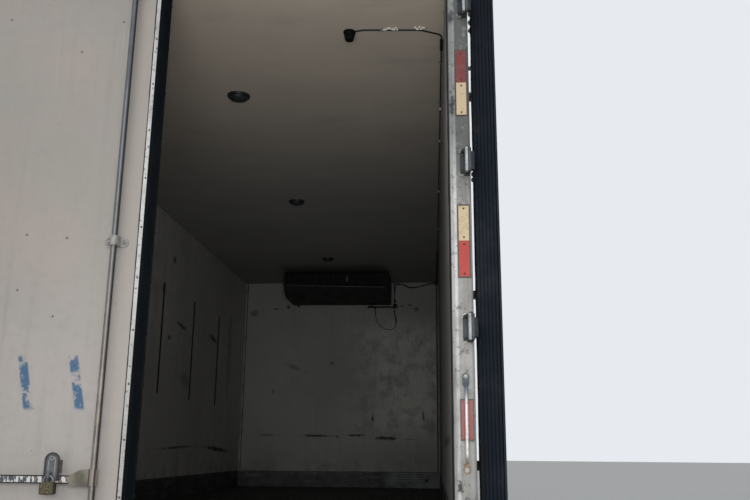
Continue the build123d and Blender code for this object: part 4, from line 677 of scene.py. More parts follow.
def rod_paint():
    """Lock rods, handles and hubs: dull zinc gone brown, painted shade down the rod's sides and a painted glint
    between, the handle's paint patchy.
    """
    paint = Paint("lock_rod_zinc", 0.40, 0.15, 0.25)
    blotch = paint.noise(13.0, 5.0, 0.68)
    shaft = paint.x.band(ROD_X - 0.013, ROD_X + 0.013, 0.0006)
    # Dark down both sides of the rod as painted shade; a painted glint down its middle.
    painted_side_shade = (paint.x - ROD_X).size().between(0.0062, 0.0092)
    line = paint.x.band(ROD_X + 0.0005, ROD_X + 0.0045, 0.001)
    glint = line * paint.scratches(26.0, (1.0, 1.0, 0.03)).between(0.42, 0.56)
    pale = paint.mixed(paint.height.between(0.4, 1.6), (0.26, 0.215, 0.18), (0.115, 0.135, 0.155))
    paint.base = paint.mixed(blotch.between(0.38, 0.7) * 0.7, pale, (0.10, 0.088, 0.076))
    paint.over(shaft * painted_side_shade * 0.9, (0.028, 0.027, 0.026))
    paint.over(shaft * glint * 0.55, (0.40, 0.40, 0.39))
    level = paint.z.band(FLOOR_Z + 0.27, FLOOR_Z + 0.36, 0.002)
    patch = paint.noise(34.0, 3.0, 0.7, paint.stretched(1.0, 1.0, 0.35))
    bar = paint.mixed(patch.between(0.46, 0.50), (0.66, 0.65, 0.62), (0.085, 0.095, 0.115))
    bar = paint.mixed(patch.between(0.555, 0.585), bar, (0.36, 0.24, 0.17))
    bar = paint.mixed((paint.height - 0.316).size().between(0.0095, 0.0115), bar, (0.028, 0.028, 0.030))
    paint.over(level * paint.x.band(-0.60, -0.192, 0.002), bar)
    hub = paint.mixed(blotch.between(0.42, 0.66), (0.225, 0.215, 0.17), (0.12, 0.11, 0.088))
    paint.over(level * paint.x.band(-0.192, ROD_X - 0.0125, 0.001), hub)
    paint.over(paint.spots(30.0, 5.0, 0.72, 0.6, 0.72) * 0.6, (0.14, 0.075, 0.04))
    return paint.done(0.36 + blotch * 0.3, blotch, 0.0007, 0.6)


def lens_paint():
    """Marker lamp lenses: red behind, clear in front and amber along the sides, ribbed inside."""
    paint = Paint("lamp_lens", 0.18, 0.0, 0.5)
    rear = paint.y.between(REAR_Y - 0.002, REAR_Y + 0.002, 1.0, 0.0)
    front = paint.y.between(FRONT_Y - 0.002, FRONT_Y + 0.002)
    ribs = (paint.x + paint.y).ripple(0.006)
    paint.base = paint.mixed(rear, (0.62, 0.20, 0.02), (0.42, 0.012, 0.012))
    paint.over(front, (0.62, 0.62, 0.60))
    paint.over(ribs * 0.25, (0.9, 0.75, 0.6))
    paint.over(paint.spots(40.0, 4.0, 0.7, 0.5, 0.75) * 0.4, GRIME)
    paint.set("Coat Weight", 0.6)
    return paint.done(None, ribs, 0.0006, 0.5)


def coil_paint():
    """Finned coil: dull aluminium, dusty in drifts, with painted shade deep between its fins."""
    paint = Paint("coil_alloy", 0.5, 0.6, 0.4)
    dust = paint.spots(7.0, 5.0, 0.7, 0.45, 0.7)
    # Dark deep in the coil, between its fins: painted shade.
    paint.base = paint.mixed(paint.y.between(3.560, 3.578), 0.05, 0.40)
    paint.over(dust * 0.6, (0.22, 0.20, 0.17))
    return paint.done(0.45 + dust * 0.3, dust, 0.0008, 0.5)


def grab_paint():
    """Grab handles: a rubbed pale bar, blue-black at its top end, on feet that are dark above and rusty below."""
    paint = Paint("grab_handle", 0.36, 0.35, 0.4)
    foot = paint.y.between(REAR_Y - 0.008, REAR_Y - 0.002)
    blotch = paint.noise(20.0, 5.0, 0.7)
    paint.base = paint.mixed(blotch.between(0.5, 0.72), (0.74, 0.73, 0.71), (0.36, 0.31, 0.27))
    paint.over(paint.height.between(0.595, 0.650) * 0.9, (0.10, 0.125, 0.16))
    paint.over(paint.height.between(0.375, 0.405, 1.0, 0.0) * 0.9, (0.20, 0.135, 0.07))
    rusty = paint.mixed(blotch.between(0.4, 0.62), (0.20, 0.15, 0.09), (0.06, 0.038, 0.022))
    paint.over(foot, paint.mixed(paint.height.between(0.5, 0.56), rusty, (0.012, 0.015, 0.022)))
    return paint.done(0.3 + blotch * 0.3, blotch, 0.0008, 0.5)


def padlock_paint():
    """Padlock: speckled dark brass body, dull bright shackle."""
    paint = Paint("padlock_brass", 0.42, 0.55, 0.4)
    blotch = paint.noise(60.0, 4.0, 0.7)
    paint.base = paint.mixed(paint.spots(260.0, 3.0, 0.7, 0.42, 0.56), (0.21, 0.18, 0.10), (0.035, 0.030, 0.020))
    rim = (paint.x - HASP_X).size().between(0.0225, 0.0245).most(paint.z.between(0.541, 0.5395))
    paint.over(rim * 0.8, (0.03, 0.027, 0.02))
    shackle = paint.mixed(blotch.between(0.4, 0.6), (0.22, 0.23, 0.245), (0.05, 0.05, 0.055))
    paint.over(paint.z.between(SHACKLE_Z - 0.0005, SHACKLE_Z + 0.0005), shackle)
    return paint.done(0.36 + blotch * 0.35, blotch, 0.0005, 0.6)


class Shapes:
    """A Geometry Nodes tree that sets one small shape on every spot of a mesh, turned to face outwards."""

    def __init__(self, name, sizes, build):
        self.tree = bpy.data.node_groups.new(name, "GeometryNodeTree")
        sockets = self.tree.interface
        named = [sockets.new_socket("Spots", in_out="INPUT", socket_type="NodeSocketGeometry")]
        for label, size in sizes.items():
            named.append(sockets.new_socket(label, in_out="INPUT", socket_type="NodeSocketFloat"))
            named[-1].default_value = size
        named.append(sockets.new_socket("Finish", in_out="INPUT", socket_type="NodeSocketMaterial"))
        sockets.new_socket("Mesh", in_out="OUTPUT", socket_type="NodeSocketGeometry")
        self.inputs = [socket.identifier for socket in named[1:]]
        given = self.tree.nodes.new("NodeGroupInput").outputs
        shape = build(self, *(Value(self.tree, given[label]) for label in sizes))
        facing = self.add("GeometryNodeInputNamedAttribute", {"data_type": "FLOAT_VECTOR"}, {"Name": "facing"})
        turn = self.add("GeometryNodeInputNamedAttribute", {"data_type": "FLOAT"}, {"Name": "turn"})
        aligned = self.add("FunctionNodeAlignRotationToVector", {"axis": "Z"}, {"Vector": facing})
        spun = self.add("FunctionNodeAxisAngleToRotation", {}, {"Axis": UP, "Angle": turn})
        values = {"Rotation": aligned, "Rotate By": spun}
        both = self.add("FunctionNodeRotateRotation", {"rotation_space": "LOCAL"}, values)
        values = {"Points": given["Spots"], "Instance": shape, "Rotation": both}
        real = self.add("GeometryNodeRealizeInstances", {}, [self.add("GeometryNodeInstanceOnPoints", {}, values)])
        finished = self.add("GeometryNodeSetMaterial", {}, {"Geometry": real, "Material": given["Finish"]})
        self.tree.links.new(finished, self.tree.nodes.new("NodeGroupOutput").inputs[0])

    def add(self, kind, settings, values):
        """The first output of a new node."""
        return add_node(self.tree, kind, settings, values).outputs[0]

    def fitted(self, mesh, scale, lift):
        """A unit shape stretched to its sizes and lifted off the surface."""
        place = self.add("ShaderNodeCombineXYZ", {}, {"Z": lift})
        size = self.add("ShaderNodeCombineXYZ", {}, scale)
        return self.add("GeometryNodeTransform", {}, {"Geometry": mesh, "Translation": place, "Scale": size})

    def disc(self, radius, thick, base, sides):
        """A round or many-sided disc that stands with its underside at base."""
        values = {"Vertices": sides, "Radius": 1.0, "Depth": 1.0}
        unit = self.add("GeometryNodeMeshCylinder", {"fill_type": "NGON"}, values)
        return self.fitted(unit, (radius, radius, thick), base + thick * 0.5)

    def smooth(self, mesh):
        return self.add("GeometryNodeSetShadeSmooth", {}, [mesh])

    def together(self, *meshes):
        node = self.tree.nodes.new("GeometryNodeJoinGeometry")
        for mesh in meshes:
            self.tree.links.new(mesh, node.inputs[0])
        return node.outputs[0]


def domed_head(shape, radius, height):
    """A rivet's or screw's low dome, with its lower half sunk."""
    unit = shape.add("GeometryNodeMeshUVSphere", {}, {"Segments": 10, "Rings": 5, "Radius": 1.0})
    return shape.smooth(shape.fitted(unit, (radius, radius, height), 0.0))


def hexagon_head(shape, across, height):
    """A washer, a hexagon head or nut, and the end of its stud."""
    washer = shape.disc(across * 1.55, height * 0.35, height * -0.1, 18)
    head = shape.disc(across, height * 0.75, height * 0.2, 6)
    return shape.together(washer, head, shape.disc(across * 0.52, height * 0.6, height * 0.6, 10))


def stepped_disc(shape, radius, height, inner):
    """A collar: a wide disc with a narrower one on it."""
    wide = shape.disc(radius, height * 0.55, height * -0.05, 28)
    return shape.together(wide, shape.disc(inner, height * 0.6, height * 0.4, 24))


def flat_bar(shape, wide, deep, tall):
    """A thin flat bar, centred on its spot."""
    return shape.fitted(shape.add("GeometryNodeMeshCube", {}, {"Size": (1.0, 1.0, 1.0)}), (wide, deep, tall), 0.0)


def tread_lug(shape, long, wide, tall):
    """One raised lug of the floor plate, a flattened bead of 20 faces."""
    unit = shape.add("GeometryNodeMeshIcoSphere", {}, {"Radius": 1.0, "Subdivisions": 1})
    return shape.smooth(shape.fitted(unit, (long, wide, tall), 0.0))


def round_ring(shape, radius, thick):
    """A ring of round section, lying flat round its spot."""
    path = shape.add("GeometryNodeCurvePrimitiveCircle", {}, {"Resolution": 40, "Radius": radius})
    section = shape.add("GeometryNodeCurvePrimitiveCircle", {}, {"Resolution": 10, "Radius": thick})
    return shape.smooth(shape.add("GeometryNodeCurveToMesh", {}, [path, section]))


KIT = {}


def kit(item):
    """A shared shape or small finish by its name, all of them made once; a material stays what it is."""
    if not KIT:
        KIT.update(
            dome=Shapes("Domed heads", {"Radius": 0.0045, "Height": 0.002}, domed_head),
            hexagon=Shapes("Hexagon heads", {"Across": 0.008, "Height": 0.007}, hexagon_head),
            collar=Shapes("Collars", {"Radius": 0.02, "Height": 0.004, "Inner": 0.01}, stepped_disc),
            bar=Shapes("Flat bars", {"Wide": 0.001, "Deep": 0.01, "Tall": 0.1}, flat_bar),
            lug=Shapes("Tread lugs", {"Long": 0.015, "Wide": 0.004, "High": 0.0016}, tread_lug),
            ring=Shapes("Rings", {"Radius": 0.05, "Thick": 0.003}, round_ring),
            rivet=metal_paint("rivet_dull", (0.12, 0.115, 0.11), 0.45, 0.4, 0.35, 3.0),
            rivet_alloy=metal_paint("rivet_alloy", (0.42, 0.42, 0.41), 0.4, 0.6, 0.05, 3.0),
            bolt=metal_paint("bolt_zinc", (0.34, 0.33, 0.31), 0.36, 0.6, 0.45, 3.0),
            bolt_bright=metal_paint("bolt_bright", (0.60, 0.60, 0.58), 0.3, 0.7, 0.1, 3.0),
            screw=metal_paint("screw_rusty", (0.08, 0.06, 0.05), 0.55, 0.3, 0.6, 4.0),
            sealant=plastic_paint("sealant_grey", (0.34, 0.33, 0.31), 0.6, 90.0, 0.3),
            dark_seam=plastic_paint("seam_dark", (0.018, 0.017, 0.016), 0.6, 90.0, 0.2),
            black=plastic_paint("black_plastic", (0.016, 0.016, 0.017)),
        )
    return KIT[item] if isinstance(item, str) else item


def made_real(source):
    """The mesh of a helper object with its modifiers and bevels applied."""
    return bpy.data.meshes.new_from_object(source.evaluated_get(bpy.context.evaluated_depsgraph_get()))


def added(name, source, finish, body):
    """Put a helper's finished mesh in the scene as a piece that rides on a body, and remove the helper."""
    objects = bpy.context.scene.collection.objects
    objects.link(source)
    mesh = made_real(source)
    bpy.data.objects.remove(source)
    mesh.name = name
    mesh.materials.clear()
    mesh.materials.append(finish)
    piece = bpy.data.objects.new(name, mesh)
    objects.link(piece)
    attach(piece, body)
    return piece


def seated(name, shape, sizes, spots, finish, body="box"):
    """One piece made of the same shape set on every spot, given as (place, facing[, turn])."""
    points = bpy.data.meshes.new("spots")
    points.from_pydata([spot[0] for spot in spots], [], [])
    points.attributes.new("facing", "FLOAT_VECTOR", "POINT")
    points.attributes.new("turn", "FLOAT", "POINT")
    for index, (_, facing, *turn) in enumerate(spots):
        points.attributes["facing"].data[index].vector = facing
        points.attributes["turn"].data[index].value = turn[0] if turn else 0.0
    source = bpy.data.objects.new("spots", points)
    modifier = source.modifiers.new("Shapes on spots", "NODES")
    modifier.node_group = kit(shape).tree
    for identifier, value in zip(kit(shape).inputs, (*sizes, kit(finish))):
        modifier[identifier] = value
    piece = added(name, source, kit(finish), body)
    bpy.data.meshes.remove(points)
    return piece


def bead(name, runs, radius, finish, step=0.0, uneven=0.0, seed=0, body="box"):
    """Round beads along straight runs, closed at their ends, and uneven where they are run by hand."""
    draw = random.Random(seed)
    curve = bpy.data.curves.new(name, "CURVE")
    curve.dimensions, curve.bevel_depth, curve.bevel_resolution = "3D", radius, 2
    curve.use_fill_caps = True
    for run in runs:
        points = [Vector(run[0])]
        for end in run[1:]:
            start, end = points[-1], Vector(end)
            count = max(1, round((end - start).length / step)) if step else 1
            points += [start.lerp(end, k / count) for k in range(1, count + 1)]
        spline = curve.splines.new("POLY")
        spline.points.add(len(points) - 1)
        for point, place in zip(spline.points, points):
            point.co = (*place, 1.0)
            point.radius = 1.0 + draw.uniform(-uneven, uneven)
        spline.use_smooth = True
    return added(name, bpy.data.objects.new("bead", curve), kit(finish), body)


def row(start, end, pitch):
    """Even places from start to end, close to that pitch."""
    count = max(1, round((end - start) / pitch))
    return [start + (end - start) * k / count for k in range(count + 1)]


def turned(spots, seed):
    """The same spots with each fixing left at its own angle."""
    draw = random.Random(seed)
    return [(place, facing, draw.uniform(0.0, math.pi)) for place, facing in spots]


def both_sides(spots):
    """The same spots on the left and the right of the body."""
    return spots + [((-x, y, z), (-facing[0], *facing[1:])) for (x, y, z), facing in spots]


# Stains on the walls: strength, place along the wall, height, half width, half height[, slope].
# Those of the side walls are placed from the rear face on.
LEFT_STAINS = (
    (0.9, 4.04, 2.121, 0.05, 0.045), (0.8, 4.38, 1.558, 0.19, 0.022, -0.0875), (0.9, 4.03, 1.404, 0.035, 0.022),
    (0.85, 5.48, 1.588, 0.20, 0.030, -0.15), (0.4, 4.58, 1.07, 0.15, 0.07),
    (0.85, 4.49, 0.4425, 0.55, 0.011, 0.031), (0.95, 5.88, 0.4285, 0.62, 0.024, -0.051),
    (0.9, 3.79, 1.80, 0.025, 0.05), (0.6, 1.30, 0.545, 1.10, 0.016, 0.02), (0.35, 6.2, 1.5, 0.12, 0.5),
)
RIGHT_STAINS = ((0.6, 1.55, 0.48, 1.35, 0.03), (0.6, 4.85, 0.84, 1.25, 0.02), (0.7, 4.85, 1.10, 0.65, 2.20))
BULKHEAD_STAINS = (
    (0.95, 0.775, 2.189, 0.036, 0.010), (0.9, 0.868, 2.199, 0.029, 0.011), (0.6, 0.949, 2.145, 0.036, 0.036),
    (0.75, -0.828, 2.156, 0.056, 0.014), (0.95, -0.668, 2.185, 0.034, 0.030), (0.55, -1.095, 2.107, 0.05, 0.05),
    (0.4, -0.567, 1.421, 0.13, 0.035, -0.4), (0.6, -0.096, 1.474, 0.020, 0.020), (0.6, -0.822, 1.132, 0.024, 0.022),
    (0.95, 0.412, 0.812, 0.016, 0.055), (0.85, 1.026, 0.828, 0.016, 0.075), (0.9, -0.260, 0.598, 0.22, 0.018),
    (0.95, 0.180, 0.6055, 0.12, 0.017), (0.95, 0.567, 0.573, 0.165, 0.026), (0.4, 0.850, 0.560, 0.15, 0.010),
    (0.45, -0.850, 0.602, 0.16, 0.018), (0.7, -0.02, 0.59, 0.03, 0.018),
)


def from_rear(stains):
    """Stains of a side wall with their places along it counted from the rear face."""
    return [(strength, REAR_Y + along, *rest) for strength, along, *rest in stains]


def finishes():
    """The material of each CAD node."""
    look = bpy.context.scene.coldbox_looks
    skin, door, shell = tuple(look.skin), tuple(look.door), tuple(look.shell)
    wall = shade(skin, 0.98)
    # The left wall is painted paler high up in its half nearest the doorway: painted light.
    paler = (REAR_Y + 5.4, REAR_Y + 3.0, 1.3, 2.9, 1.35)
    looks = {
        kit("black"): "ceiling_cable junction_box fan_guards fan_shrouds unit_louvres lead_conduit slack_lead",
        metal_paint("subframe_black", (0.035, 0.035, 0.035), 0.5, 0.1, 0.2, 1.0, 0.35):
            "floor_panel sill_left sill_right cross_members chassis_feet fan_motors",
        metal_paint("zinc_steel", (0.34, 0.335, 0.32), 0.4, 0.4, 0.2, 2.0, 0.4): "lock_keepers cable_clips",
        metal_paint("rail_alloy", (0.53, 0.53, 0.52), 0.4, 0.5, patchy=0.3): "edge_profiles",
        skin_paint("left_wall", wall, shell, ("x", -1.26, -1), None, from_rear(LEFT_STAINS), paler): "side_wall_left",
        # Right wall: painted shade near the doorway and low down.
        skin_paint("right_wall", wall, shell, ("x", 1.26, 1), shade(skin, 0.40), from_rear(RIGHT_STAINS)):
            "side_wall_right",
        # Bulkhead: painted light makes it paler towards its right.
        skin_paint("bulkhead", (0.450, 0.450, 0.420), shell, ("y", BULKHEAD_Y + 0.04, 1), None, BULKHEAD_STAINS,
                   (-0.2, 0.7, 0.55, 1.95, 1.8)): "front_wall",
        roof_paint(shade(skin, 0.84), shell, tuple(look.ceiling)): "roof_panel",
        tread_paint(): "floor_plate",
        kick_paint(): "kick_plates",
        angle_paint(): "corner_angles",
        plastic_paint("wall_strip", (0.012, 0.012, 0.012)): "wall_strips",
        post_paint(): "rear_post_left rear_post_right rear_header rear_threshold",
        reflector_paint(): "reflective_plates",
        grab_paint(): "grab_handle_left grab_handle_right",
        hinge_paint("hinge_dark", (0.055, 0.060, 0.068), (0.09, 0.098, 0.11)): "post_hinges_left post_hinges_right",
        hinge_paint("strap_zinc", (0.26, 0.265, 0.265), (0.10, 0.107, 0.12)): "door_left_straps door_right_straps",
        rod_paint(): "door_left_lock_bar door_right_lock_bar",
        bracket_paint(): "door_left_brackets door_right_brackets",
        padlock_paint(): "padlock",
        trim_paint("left_trim_enamel", False): "door_left_trim",
        trim_paint("right_trim_enamel", True): "door_right_trim",
        door_paint("left_door_skin", door, True): "door_left_panel",
        door_paint("right_door_skin", door, False): "door_right_panel",
        rubber_paint("left_gasket", (0.0050, 0.0068, 0.0088), 0.07, 0.05): "door_left_gasket",
        rubber_paint("right_gasket", (0.014, 0.019, 0.027), 0.3, 0.16): "door_right_gasket",
        rubber_paint("buffer_rubber", (0.02, 0.02, 0.02)): "rubber_buffers",
        lens_paint(): "marker_lamps",
        evaporator_paint(): "evaporator_housing evaporator_vanes",
        plastic_paint("unit_shell", shell, 0.3, 90.0): "condenser_shell",
        coil_paint(): "condenser_coil",
        plastic_paint("fan_blade", (0.022, 0.022, 0.024), 0.35): "fan_left fan_right",
        plastic_paint("lamp_body", (0.02, 0.021, 0.023), 0.35): "ceiling_lamps",
        plastic_paint("camera_black", (0.005, 0.005, 0.0055), 0.6, 160.0, 0.12): "ceiling_camera",
        plastic_paint("lead_brown", BROWN_SHEATH, 0.6, 160.0, 0.2): "loop_lead",
    }
    return {node: finish for finish, nodes in looks.items() for node in nodes.split()}


# The two loose leads under the ceiling at the bulkhead, the same routes as in the part's source
LOOP_LENGTH, LOOP_DIAMETER = 0.6725, 0.007
SLACK_LENGTH, SLACK_DIAMETER = 0.4488, 0.011
LOOP_ROUTE = (
    (0.433, 3.401, 2.426), (0.433, 3.401, 2.382), (0.443, 3.397, 2.318), (0.461, 3.394, 2.256),
    (0.497, 3.396, 2.204), (0.553, 3.398, 2.170), (0.620, 3.399, 2.160), (0.674, 3.398, 2.182),
    (0.698, 3.396, 2.236), (0.691, 3.397, 2.314), (0.674, 3.401, 2.376), (0.674, 3.401, 2.426),
)
SLACK_ROUTE = (
    (1.177, 3.369, 2.739), (1.1339, 3.369, 2.739), (1.0606, 3.374, 2.723), (0.9787, 3.384, 2.699),
    (0.8968, 3.394, 2.688), (0.8322, 3.399, 2.703), (0.7891, 3.402, 2.737), (0.746, 3.402, 2.737),
)


def lead(name, route, diameter, finish, wraps):
    """A loose lead held at both ends: one smooth line with the route's points as its control points.

    wraps are the tape wound round it, as (start and end as shares of its line, radius).
    """
    curve = bpy.data.curves.new(name, "CURVE")
    curve.dimensions, curve.bevel_resolution = "3D", 3
    curve.resolution_u, curve.use_fill_caps = 10, True
    spline = curve.splines.new("NURBS")
    spline.points.add(len(route) - 1)
    for point, place in zip(spline.points, route):
        point.co = (*place, 1.0)
    spline.order_u = 3
    spline.use_endpoint_u = True
    curve.materials.append(finish)
    piece = bpy.data.objects.new(name, curve)
    bpy.context.scene.collection.objects.link(piece)
    line = made_real(piece)
    places = [vertex.co.copy() for vertex in line.vertices]
    bpy.data.meshes.remove(line)
    curve.bevel_depth = diameter / 2.0
    last = len(places) - 1
    tapes = [
        bead(f"{name}_tape_{index + 1}", [places[round(start * last):round(end * last) + 1]], radius, "black",
             0.0, 0.22, 60 + index)
        for index, (start, end, radius) in enumerate(wraps)
    ]
    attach(piece, "box")
    return piece


class ColdboxLooks(bpy.types.PropertyGroup):
    """Colours and sizes that a user would change."""

    skin: bpy.props.FloatVectorProperty(
        name="Panel skin", description="Colour of the load space's walls",
        subtype="COLOR", size=3, default=(0.58, 0.57, 0.54), min=0.0, max=1.0,
    )
    # The ceiling's rear end colour is painted light: paler and warmer where the doorway lets light in.
    ceiling: bpy.props.FloatVectorProperty(
        name="Ceiling by the doorway", description="Colour that dust and sun have given the ceiling's rear end",
        subtype="COLOR", size=3, default=(0.73, 0.63, 0.52), min=0.0, max=1.0,
    )
    shell: bpy.props.FloatVectorProperty(
        name="Outer skin", description="Colour of the outside of the panels and of the cooling unit",
        subtype="COLOR", size=3, default=(0.68, 0.68, 0.66), min=0.0, max=1.0,
    )
    door: bpy.props.FloatVectorProperty(
        name="Door skin", description="Colour of the rear doors",
        subtype="COLOR", size=3, default=(0.350, 0.326, 0.305), min=0.0, max=1.0,
    )
    backdrop: bpy.props.FloatVectorProperty(
        name="Backdrop", description="Pale colour seen behind the body",
        subtype="COLOR", size=3, default=(0.80, 0.83, 0.87), min=0.0, max=1.0,
    )
    rivet: bpy.props.FloatProperty(
        name="Trim rivet", description="Radius of the rivets in the door trims",
        unit="LENGTH", default=0.0045, min=0.002, max=0.008,
    )
    lug_pitch: bpy.props.FloatProperty(
        name="Lug pitch", description="Distance between the raised lugs of the floor plate",
        unit="LENGTH", default=0.058, min=0.04, max=0.1,
    )


class COLDBOX_OT_stage(bpy.types.Operator):
    """Set the camera, the floor, the soft lamps and the pale surroundings"""

    bl_idname = "coldbox.stage"
    bl_label = "Stage and camera"

    def execute(self, context):
        scene = context.scene
        scene.view_settings.view_transform = "Standard"
        self.camera(scene)
        self.floor(scene)
        self.surroundings(scene)
        self.lamp(scene, "sky_panel", (-2.0, -9.0, 7.0), (0.0, -3.5, 1.2), 7.0, 168.0)
        self.lamp(scene, "door_fill", (0.95, -6.3, 1.1), (-0.1, 0.0, 1.6), 1.6, 17.0, 110.0, 0.9)
        return {"FINISHED"}

    @staticmethod
    def camera(scene):
        level = Vector((math.cos(CAMERA_TURN), math.sin(CAMERA_TURN), 0.0))
        forward = Vector((-level.y, level.x, 0.0))
        ahead = forward * math.cos(CAMERA_TILT) + Vector(UP) * math.sin(CAMERA_TILT)
        above = level.cross(ahead)
        right = level * math.cos(CAMERA_ROLL) + above * math.sin(CAMERA_ROLL)
        up = -level * math.sin(CAMERA_ROLL) + above * math.cos(CAMERA_ROLL)
        data = bpy.data.cameras.new("photo_camera")
        data.sensor_width = SENSOR_WIDTH
        data.lens = FOCAL_PIXELS * SENSOR_WIDTH / PHOTO_WIDTH
        data.clip_end = 200.0
        seen = bpy.data.objects.new("photo_camera", data)
        turn = Matrix((right, up, -ahead)).transposed().to_4x4()
        seen.matrix_world = Matrix.Translation(CAMERA_AT) @ turn
        scene.collection.objects.link(seen)
        scene.camera = seen

    @staticmethod
    def floor(scene):
        mesh = bpy.data.meshes.new("studio_floor")
        half = 60.0
        corners = [(-half, -half, 0), (half, -half, 0), (half, half, 0), (-half, half, 0)]
        mesh.from_pydata(corners, [], [(0, 1, 2, 3)])
        paint = Paint("studio_floor", 0.8)
        paint.base = paint.mixed(paint.noise(0.4), (0.62, 0.62, 0.61), (0.66, 0.66, 0.65))
        mesh.materials.append(paint.done())
        floor = bpy.data.objects.new("studio_floor", mesh)
        scene.collection.objects.link(floor)

    @staticmethod
    def surroundings(scene):
        world = bpy.data.worlds.new("pale_surroundings")
        world.use_nodes = True
        tree = world.node_tree
        tree.nodes.clear()
        path = tree.nodes.new("ShaderNodeLightPath").outputs
        seen = Value(tree, path["Is Camera Ray"]).most(Value(tree, path["Is Glossy Ray"]))
        seen = seen.most(Value(tree, path["Is Transmission Ray"]))
        light = add_node(tree, "ShaderNodeBackground", {}, [(0.94, 0.965, 1.0), 0.50])
        view = add_node(tree, "ShaderNodeBackground", {}, [tuple(scene.coldbox_looks.backdrop), 1.0])
        mix = add_node(tree, "ShaderNodeMixShader", {}, [seen, light.outputs[0], view.outputs[0]])
        add_node(tree, "ShaderNodeOutputWorld", {}, [mix.outputs[0]])
        scene.world = world

    @staticmethod
    def lamp(scene, name, place, target, size, watts, spread=180.0, height=None):
        """A soft lamp that points from its place at a target; spread is an angle in degrees."""
        data = bpy.data.lights.new(name, "AREA")
        data.shape, data.size, data.size_y = "ELLIPSE", size, height or size
        data.energy, data.spread = watts, math.radians(spread)
        lamp = bpy.data.objects.new(name, data)
        lamp.location = place
        lamp.rotation_euler = (Vector(target) - Vector(place)).to_track_quat("-Z", "Y").to_euler()
        scene.collection.objects.link(lamp)


class COLDBOX_OT_leads(bpy.types.Operator):
    """Hang the two loose leads at the evaporator"""

    bl_idname = "coldbox.leads"
    bl_label = "Loose leads"

    def execute(self, context):
        brown = plastic_paint("lead_sheath_brown", BROWN_SHEATH, 0.6, 160.0, 0.2)
        wraps = ((0.0, 0.07, 0.0060), (0.30, 0.34, 0.0050), (0.74, 0.98, 0.0072))
        loop = lead("evaporator_loop_lead", LOOP_ROUTE, LOOP_DIAMETER, brown, wraps)
        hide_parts("loop_lead")
        wraps = ((0.04, 0.36, 0.0074), (0.45, 0.96, 0.0080))
        slack = lead("evaporator_slack_lead", SLACK_ROUTE, SLACK_DIAMETER, kit("black"), wraps)
        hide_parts("slack_lead")
        self.ties()
        return {"FINISHED"}

    @staticmethod
    def ties():
        """Lumps of tape and ties on the conduit under the evaporator and on its riser."""
        draw, start = random.Random(65), low("lead_conduit")
        spots = []
        for left, right, bottom, top, count in (
            (0.345, 0.455, 0.012, 0.034, 16), (0.520, 0.600, 0.014, 0.030, 8), (0.655, 0.705, 0.010, 0.060, 16),
            (0.668, 0.690, 0.080, 0.290, 14),
        ):
            for _ in range(count):
                x, y = draw.uniform(left, right), start.y + 0.004 + draw.uniform(0.0, 0.006)
                place = (x, y, start.z + draw.uniform(bottom, top))
                spots.append((place, BACK, draw.uniform(0.0, math.pi)))
        seated("conduit_ties", "dome", (0.0095, 0.0080), spots, "black")


class COLDBOX_OT_finishes(bpy.types.Operator):
    """Give every CAD node its own material"""

    bl_idname = "coldbox.finishes"
    bl_label = "Node finishes"

    def execute(self, context):
        table = finishes()
        missing = set(NODES) - set(table)
        if missing:
            raise RuntimeError(f"no finish for {sorted(missing)}")
        for name, node in NODES.items():
            node.data.materials.clear()
            node.data.materials.append(table[name])
        return {"FINISHED"}


